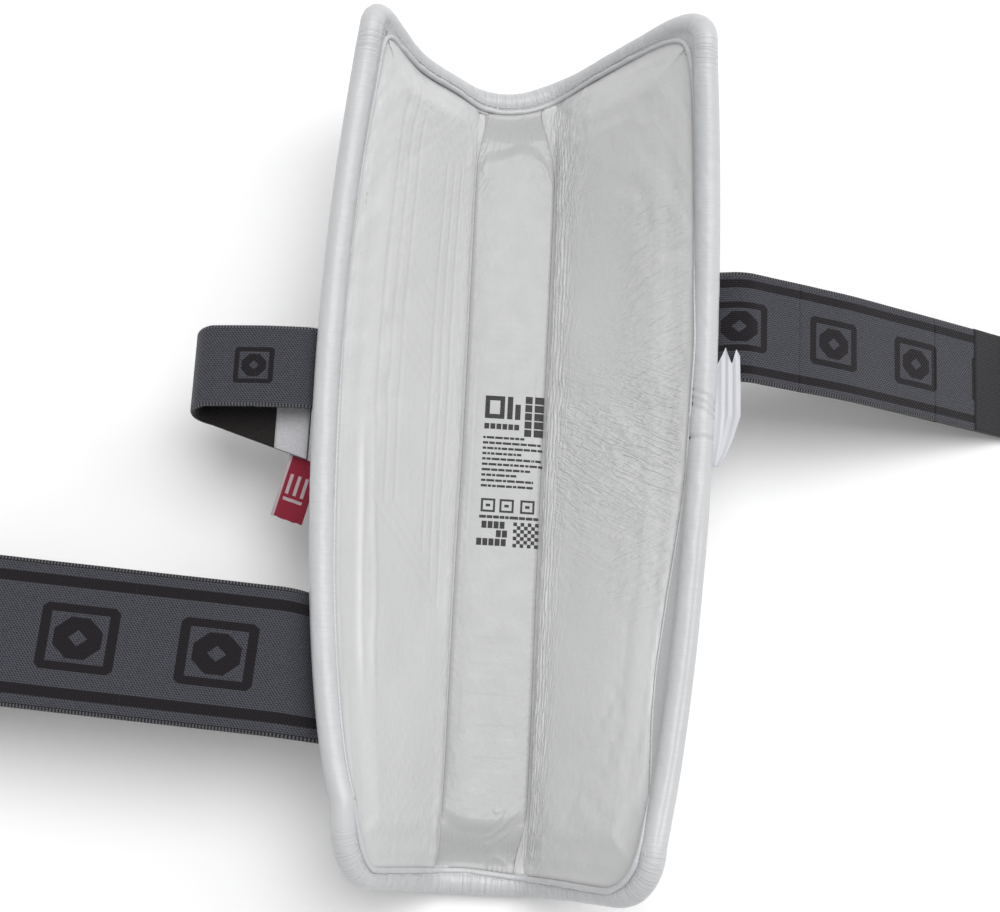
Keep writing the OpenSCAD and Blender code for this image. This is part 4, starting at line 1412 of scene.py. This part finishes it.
def label():
    """A folded woven label: two layers that part a little towards their free end."""
    turn, hang = math.radians(LABEL_TURN), math.radians(LABEL_HANG)
    ax = np.array([math.cos(turn), -math.sin(turn), 0])
    level = np.array([math.sin(turn), math.cos(turn), 0])
    ay = level * math.cos(hang) + Z * math.sin(hang)
    az = np.cross(ax, ay)
    x, y = grid(np.linspace(-LABEL_W / 2, LABEL_W / 2, 34), np.linspace(-LABEL_L, LABEL_ROOT, 60))
    f, side = np.clip(-y / LABEL_L, 0, 1), x / LABEL_W * 2
    part = 0.22 + 0.55 * f**1.5 * (1 - 0.75 * side**2) + 0.15 * bump(x, -LABEL_W / 2, 0.9)
    curl = 0.5 * f**2 * side + 0.55 * np.sin(f * 5.0) * (0.5 + 0.3 * side)
    ragged = 0.18 * Noise(151)(x / 1.3, y * 0) * f
    place = joint_mm("label_flip") + ax * x[..., None] + ay * (y + ragged)[..., None]
    place = place + az * curl[..., None]
    uv = np.stack([x + LABEL_W / 2, LABEL_ROOT - y], -1)
    high, low = place + az * part[..., None], place - az * part[..., None] * 0.8
    return slab("woven_label_folded", high, low, uv), ay


def edge_flap():
    """A doubled flap of leather, gathered at the roll, with two points over the strap's root."""
    rise = math.radians(FLAP_RISE)
    ax = X * math.cos(rise) + Z * math.sin(rise)
    az = Z * math.cos(rise) - X * math.sin(rise)
    a, q = grid(np.linspace(0, 1, 40), np.linspace(0, 1, 150))
    # Its upper edge zigzags with the distance out, and its reach grows along the pad
    zigzag = [13, 18.4, 21.6, 19.0, 15.4, 20.8, 18.2]
    top = np.interp(a, [0, 0.3, 0.45, 0.52, 0.68, 0.86, 1], zigzag)
    y = -21.3 + (top + 21.3) * q
    reach = np.interp(y, [-21.5, -17.2, -10, -3.2, 8, 20, 22], [0.6, 3.2, 5.9, 7.9, 7.7, 7.3, 7.1])
    x = -1.5 + a * (reach + 1.5)
    sway = 0.05 * Noise(161)(y / 15, 0 * y)
    lift = 0.26 * bump(a + sway, 0.30, 0.1) + 0.34 * bump(a - sway, 0.55, 0.09)
    lift += 0.26 * bump(a + sway, 0.82, 0.09)
    lift -= 0.16 * bump(a + sway, 0.42, 0.06) + 0.18 * bump(a - sway, 0.69, 0.06)
    lift = lift * (0.55 + 0.45 * step(y, -18, 6)) + 0.35 * Noise(165)(x / 6, y / 11)
    limit = 1.6
    lift = limit * np.tanh(lift / limit) * step(a, 0.02, 0.3)
    half = 0.32 + 0.28 * bump((1 - a) * 7, 0, 0.9) + 0.12 * bump((1 - q) * 40, 0, 0.9)
    place = joint_mm("edge_tab_flip") + ax * x[..., None] + Y * y[..., None] + az * lift[..., None]
    high, low = place + az * half[..., None], place - az * half[..., None]
    uv = np.stack([x + 2, y + 25], -1)
    # Painted shade: the flap is darker in colour where its folds sink
    return slab("edge_flap", high, low, uv, {"groove_shade": np.clip(-lift / limit, 0, 1) * 0.6}), ax


PILE_SPAN = (0.2, 0.56)  # where the landing patches lie up the wing, from the ridge to the rim


def landing(name, side, y, width, seed):
    """Loop pile on the outer face, tufted, inside a flat woven border."""
    t, b = grid(np.linspace(*PILE_SPAN, 64), np.linspace(-width / 2, width / 2, 84))
    v = (y + b) / HALF_L
    s = side * (1 + t)
    up = t * WING_FACE
    low_edge, high_edge = PILE_SPAN
    edge = np.minimum(np.minimum(t - low_edge, high_edge - t) * WING_FACE, width / 2 - np.abs(b))
    tufts = 0.2 * Noise(seed)(up / 0.7, b / 0.7) + 0.12 * Noise(seed + 1)(up / 1.9, b / 1.9)
    out = 0.9 + step(edge, 1.6, 2.6) * (0.6 + tufts)
    uv = np.stack([up, b + width / 2], -1)
    return slab(name, layer(s, v, -out), layer(s, v, 0 * out - 0.38), uv)


# ---------------------------------------------------------------- care print


PRINT_SHIFT = 2.5  # how far the printed block lies right of the ridge's middle


def print_marks():
    """Plain bars, squares and checks that stand for the printed block: no letters."""
    rng = np.random.default_rng(7)
    rects = []

    def bar(x0, y0, x1, y1):
        rects.append((x0 + PRINT_SHIFT, y0, x1 + PRINT_SHIFT, y1))

    def frame_of(x0, y0, x1, y1, t):
        bar(x0, y0, x1, y0 + t)
        bar(x0, y1 - t, x1, y1)
        bar(x0, y0 + t, x0 + t, y1 - t)
        bar(x1 - t, y0 + t, x1, y1 - t)

    def words(x0, x1, y0, height, low, high, space):
        x = x0
        while x < x1 - low:
            w = min(float(rng.uniform(low, high)), x1 - x)
            bar(x, y0, x + w, y0 + height)
            x += w + space

    frame_of(-9.6, 18.6, -2.4, 27.2, 1.7)
    bar(-1.4, 18.6, 0.6, 27.2)
    bar(1.5, 18.6, 3.5, 24.4)
    words(-9.6, 3.6, 14.6, 2.1, 1.7, 1.8, 0.45)
    for column, wide in ((5.2, 2.6), (8.7, 3.4)):
        for k in range(5):
            bar(column, 12.4 + 3.15 * k, column + wide, 15.1 + 3.15 * k)
    ends = (5.5, 11.5, 12.2, 4.5, 12.0, 12.4, 8.5, 3.0, 9.5, 9.5)
    for k, end in enumerate(ends):
        words(-9.8, end, 10.9 - 2.02 * k, 0.85, 0.9, 3.2, 0.35)
    for x in (-9.4, -2.6, 5.0):
        frame_of(x, -16.6, x + 5.2, -11.6, 0.75)
        bar(x + 1.8, -14.6, x + 3.4, -13.6)
    words(-9.8, 11.8, -18.9, 1.05, 1.2, 3.4, 0.3)
    for y0, start in ((-22.6, -8.8), (-25.8, -3.4), (-29.0, -10.4)):
        words(start, 1.4, y0, 2.6, 1.75, 1.85, 0.42)
    check = 1.32
    for i in range(7):
        for j in range(7):
            if (i + j) % 2 == 0:
                x0, y0 = 2.8 + check * i, -29.2 + check * j
                bar(x0, y0, x0 + check, y0 + check)

    points, faces = [], []
    for x0, y0, x1, y1 in rects:
        ni, nj = max(2, round((x1 - x0) / 0.9) + 1), max(2, round((y1 - y0) / 0.9) + 1)
        x, y = grid(np.linspace(x0, x1, ni), np.linspace(y0, y1, nj))
        z = lining_height(x, y)
        n, base = ni * nj, len(points)
        points.extend(np.stack([x, y, z + 0.07], -1).reshape(-1, 3))
        points.extend(np.stack([x, y, z - 0.06], -1).reshape(-1, 3))
        k = np.arange(n).reshape(ni, nj) + base
        for i in range(ni - 1):
            for j in range(nj - 1):
                a, b, c, d = k[i, j], k[i + 1, j], k[i + 1, j + 1], k[i, j + 1]
                faces += [[a, b, c, d], [d + n, c + n, b + n, a + n]]
        border = [*k[:, 0], *k[-1, 1:], *k[::-1, -1][1:], *k[0, ::-1][1:]]
        for a, b in zip(border, border[1:]):
            faces.append([b, a, a + n, b + n])
    return closed_mesh("care_print", points, faces, False)


# ---------------------------------------------------------------- the object


paint(cover(), COVER_SKIN, "pad", ["outer_cover"])
core_foam = paint(core(), FOAM, "pad", ["impact_core"])
soft_pads = (("left", -2, -1, 40), ("centre", -1, 1, 30), ("right", 1, 2, 40))
for name, first, last, columns in soft_pads:
    pad = soft_pad("soft_pad_foam_" + name, first, last, columns)
    paint(pad, SOFT_FOAM, "pad", ["soft_pad_" + name])

for side, name in ((LEFT, "left"), (RIGHT, "right")):
    panel = paint(wing_panel(side), LINING_SKIN, "pad", ["lining_" + name])
middle_panel = paint(centre_panel(), CENTRE_SKIN, "pad", ["lining_centre"])

roll = paint(edge_roll(), ROLL_SKIN, "pad", ["edge_binding"])
paint(filler_cord(), SOFT_FOAM, "pad", ["edge_filler"])
paint(piping(), ROLL_SKIN, "pad", ["edge_piping"])
ends_only = np.clip(ON_ANKLE + ON_KNEE, 0, 1)
stitch_out = -HEM_IN + 2.3
end_row = rim_stitches("rim_stitches", stitch_out, shoulder(stitch_out) + 0.02, ends_only)
paint(end_row, STITCH, "pad")
tick_line = step(-RIM_X, 30, 40) * step(90 - np.abs(RIM_Y), 0, 4)
ticks = rim_stitches("side_stitches", -4.0 + 0 * RIM_U, RIM_T + 1.35 + 0 * RIM_U, tick_line)
paint(ticks, STITCH, "pad")
for side, name in ((LEFT, "left"), (RIGHT, "right")):
    seam_row = seam_stitches("seam_stitches_" + name, side)
    paint(seam_row, STITCH, "pad", ["seam_thread_" + name])
paint(print_marks(), INK, "pad")


def add_strap(name, prefix, side, y, width, axis, seed, material, tape_lead):
    """A strap with its hook tape, which begins so far before the tab's hinge line."""
    pieces, corners, band = strap(name, prefix, side, y, width, axis, seed)
    nodes = (prefix + "_strap_anchor", prefix + "_strap_band", prefix + "_strap_end")
    chain = ["pad", prefix + "_strap", prefix + "_end", prefix + "_tab"]
    for k, piece in enumerate(pieces):
        paint(piece, material, None, [nodes[k]])
        bend_between(piece, chain[k : k + 2], corners[k], 4, 4)
    start = int(np.searchsorted(band.along, band.along[band.index(corners[2][0])] - tape_lead))
    n = band.normals[start:]
    inset = width / 2 - np.abs(band.uv[start:, :, 0] - width / 2)
    half = (0.45 - 0.2 * bump(inset, 0, 0.4))[..., None]
    middle = band.grid[start:] + n * 0.62
    tape = slab(prefix + "_tape", middle + n * half, middle - n * half, band.uv[start:])
    paint(tape, TAPE, None, [prefix + "_hook_tape"])
    bend_between(tape, chain[2:4], corners[2], 4, 4)
    hooks = hook_field(prefix + "_hook_field", prefix, width, axis, side)
    paint(hooks, TAPE, prefix + "_tab", [prefix + "_hooks"])
    set_uv(hooks, np.zeros((len(hooks.data.vertices), 2)))


LOWER_AXIS = np.array(JOINTS["lower_strap_swing"]["axis"])
LOWER_EDGE, UPPER_EDGE = [(0.0, 0.0015), (0.0045, 0.0082)], [(0.0, 0.0012), (0.0028, 0.0059)]
LOWER_ELASTIC = elastic("ankle_elastic", 0.050, LOWER_EDGE, 0.0465, (0.0131, 0.0112), 0.0565)
UPPER_ELASTIC = elastic("knee_elastic", 0.040, UPPER_EDGE, 0.039, (0.0104, 0.009), 0.0365)
LOOP_ELASTIC = elastic("loop_elastic", 0.029, [], 0.4, (0.007, 0.0065), 0.050)
add_strap("ankle_strap", "lower", LEFT, -82, 50, LOWER_AXIS, 121, LOWER_ELASTIC, 2)
add_strap("knee_strap", "upper", RIGHT, 46, 40, Y, 125, UPPER_ELASTIC, 20)

(loop_root, loop_fold), felt_piece = side_loop()
paint(loop_root, LOOP_ELASTIC, None, ["side_loop_anchor"])
bend_between(loop_root, ("pad", "side_loop"), (joint_mm("side_loop_swing"), -X, -X), 3.5, 3.5)
paint(loop_fold, LOOP_ELASTIC, "side_loop", ["side_loop_band"])
paint(felt_piece, FACING, "side_loop", ["side_loop_facing"])
tag, along_label = label()
paint(tag, label_cloth("label_weave", 0.0115, 0.0222), None, ["woven_label"])
hanging = (joint_mm("label_flip"), -along_label, -along_label)
bend_between(tag, ("side_loop", "label"), hanging, 0.6, 2.4)

flap, along_flap = edge_flap()
paint(flap, TAB_SKIN, None, ["edge_tab"])
bend_between(flap, ("pad", "tab"), (joint_mm("edge_tab_flip"), along_flap, along_flap), 1.1, 1.0)

for name, side, y, width, seed in (("lower", RIGHT, -82, 50, 171), ("upper", LEFT, 54, 40, 175)):
    patch = landing(name + "_landing_pile", side, y, width, seed)
    paint(patch, PILE, "pad", [name + "_landing_patch"])


# ---------------------------------------------------------------- floor, light and camera


def floor():
    r, z = 20000, -0.5
    corners = [(-r, -r, z), (r, -r, z), (r, r, z), (-r, r, z)]
    obj = mesh_object("floor", corners, [(0, 1, 2, 3)], False)
    obj.data.materials.append(floor_material())


def lamp(name, place, target, size, watts):
    """A round lamp. Its measures are in metres."""
    data = bpy.data.lights.new(name, "AREA")
    data.shape = "DISK"
    data.size, data.energy = size, watts
    obj = bpy.data.objects.new(name, data)
    bpy.context.scene.collection.objects.link(obj)
    obj.location = place
    obj.rotation_euler = (Vector(target) - Vector(place)).to_track_quat("-Z", "Y").to_euler()


def sun(towards, spread, strength):
    """A wide soft sun, so that the floor stays as pale far away as it is near."""
    data = bpy.data.lights.new("sky", "SUN")
    data.angle, data.energy = math.radians(spread), strength
    obj = bpy.data.objects.new("sky", data)
    bpy.context.scene.collection.objects.link(obj)
    obj.rotation_euler = Vector(towards).to_track_quat("Z", "Y").to_euler()


def camera():
    """The photograph's camera, found by fitting the pad's outline."""
    azimuth, elevation, roll = math.radians(-11.41), math.radians(75.9), math.radians(2.84)
    look_at, distance = np.array([-2.1, -1.9, 38.2]), 628.75
    level = X * math.sin(azimuth) - Y * math.cos(azimuth)
    back = level * math.cos(elevation) + Z * math.sin(elevation)
    right = unit(np.cross(-back, Y))
    up = np.cross(right, -back)
    r = math.cos(roll) * right + math.sin(roll) * up
    u = -math.sin(roll) * right + math.cos(roll) * up
    data = bpy.data.cameras.new("camera")
    data.lens, data.sensor_width, data.sensor_fit = 64.37, 36, "HORIZONTAL"
    data.clip_start, data.clip_end = 0.01, 20
    obj = bpy.data.objects.new("camera", data)
    bpy.context.scene.collection.objects.link(obj)
    rotation = Matrix([[r[k], u[k], back[k]] for k in range(3)]).to_4x4()
    obj.matrix_world = Matrix.Translation(Vector((look_at + back * distance) * MM)) @ rotation
    bpy.context.scene.camera = obj


floor()
lamp("key", (0.75, 0.55, 1.05), (0, 0, 0.03), 0.5, 2.3)
sun((0.14, 0.28, 1.0), 45, 1.8)
world = bpy.data.worlds.new("studio")
world.use_nodes = True
world.node_tree.nodes["Background"].inputs["Color"].default_value = (1, 1, 1, 1)
world.node_tree.nodes["Background"].inputs["Strength"].default_value = 0.5
bpy.context.scene.world = world
bpy.context.scene.view_settings.view_transform = "Standard"
camera()
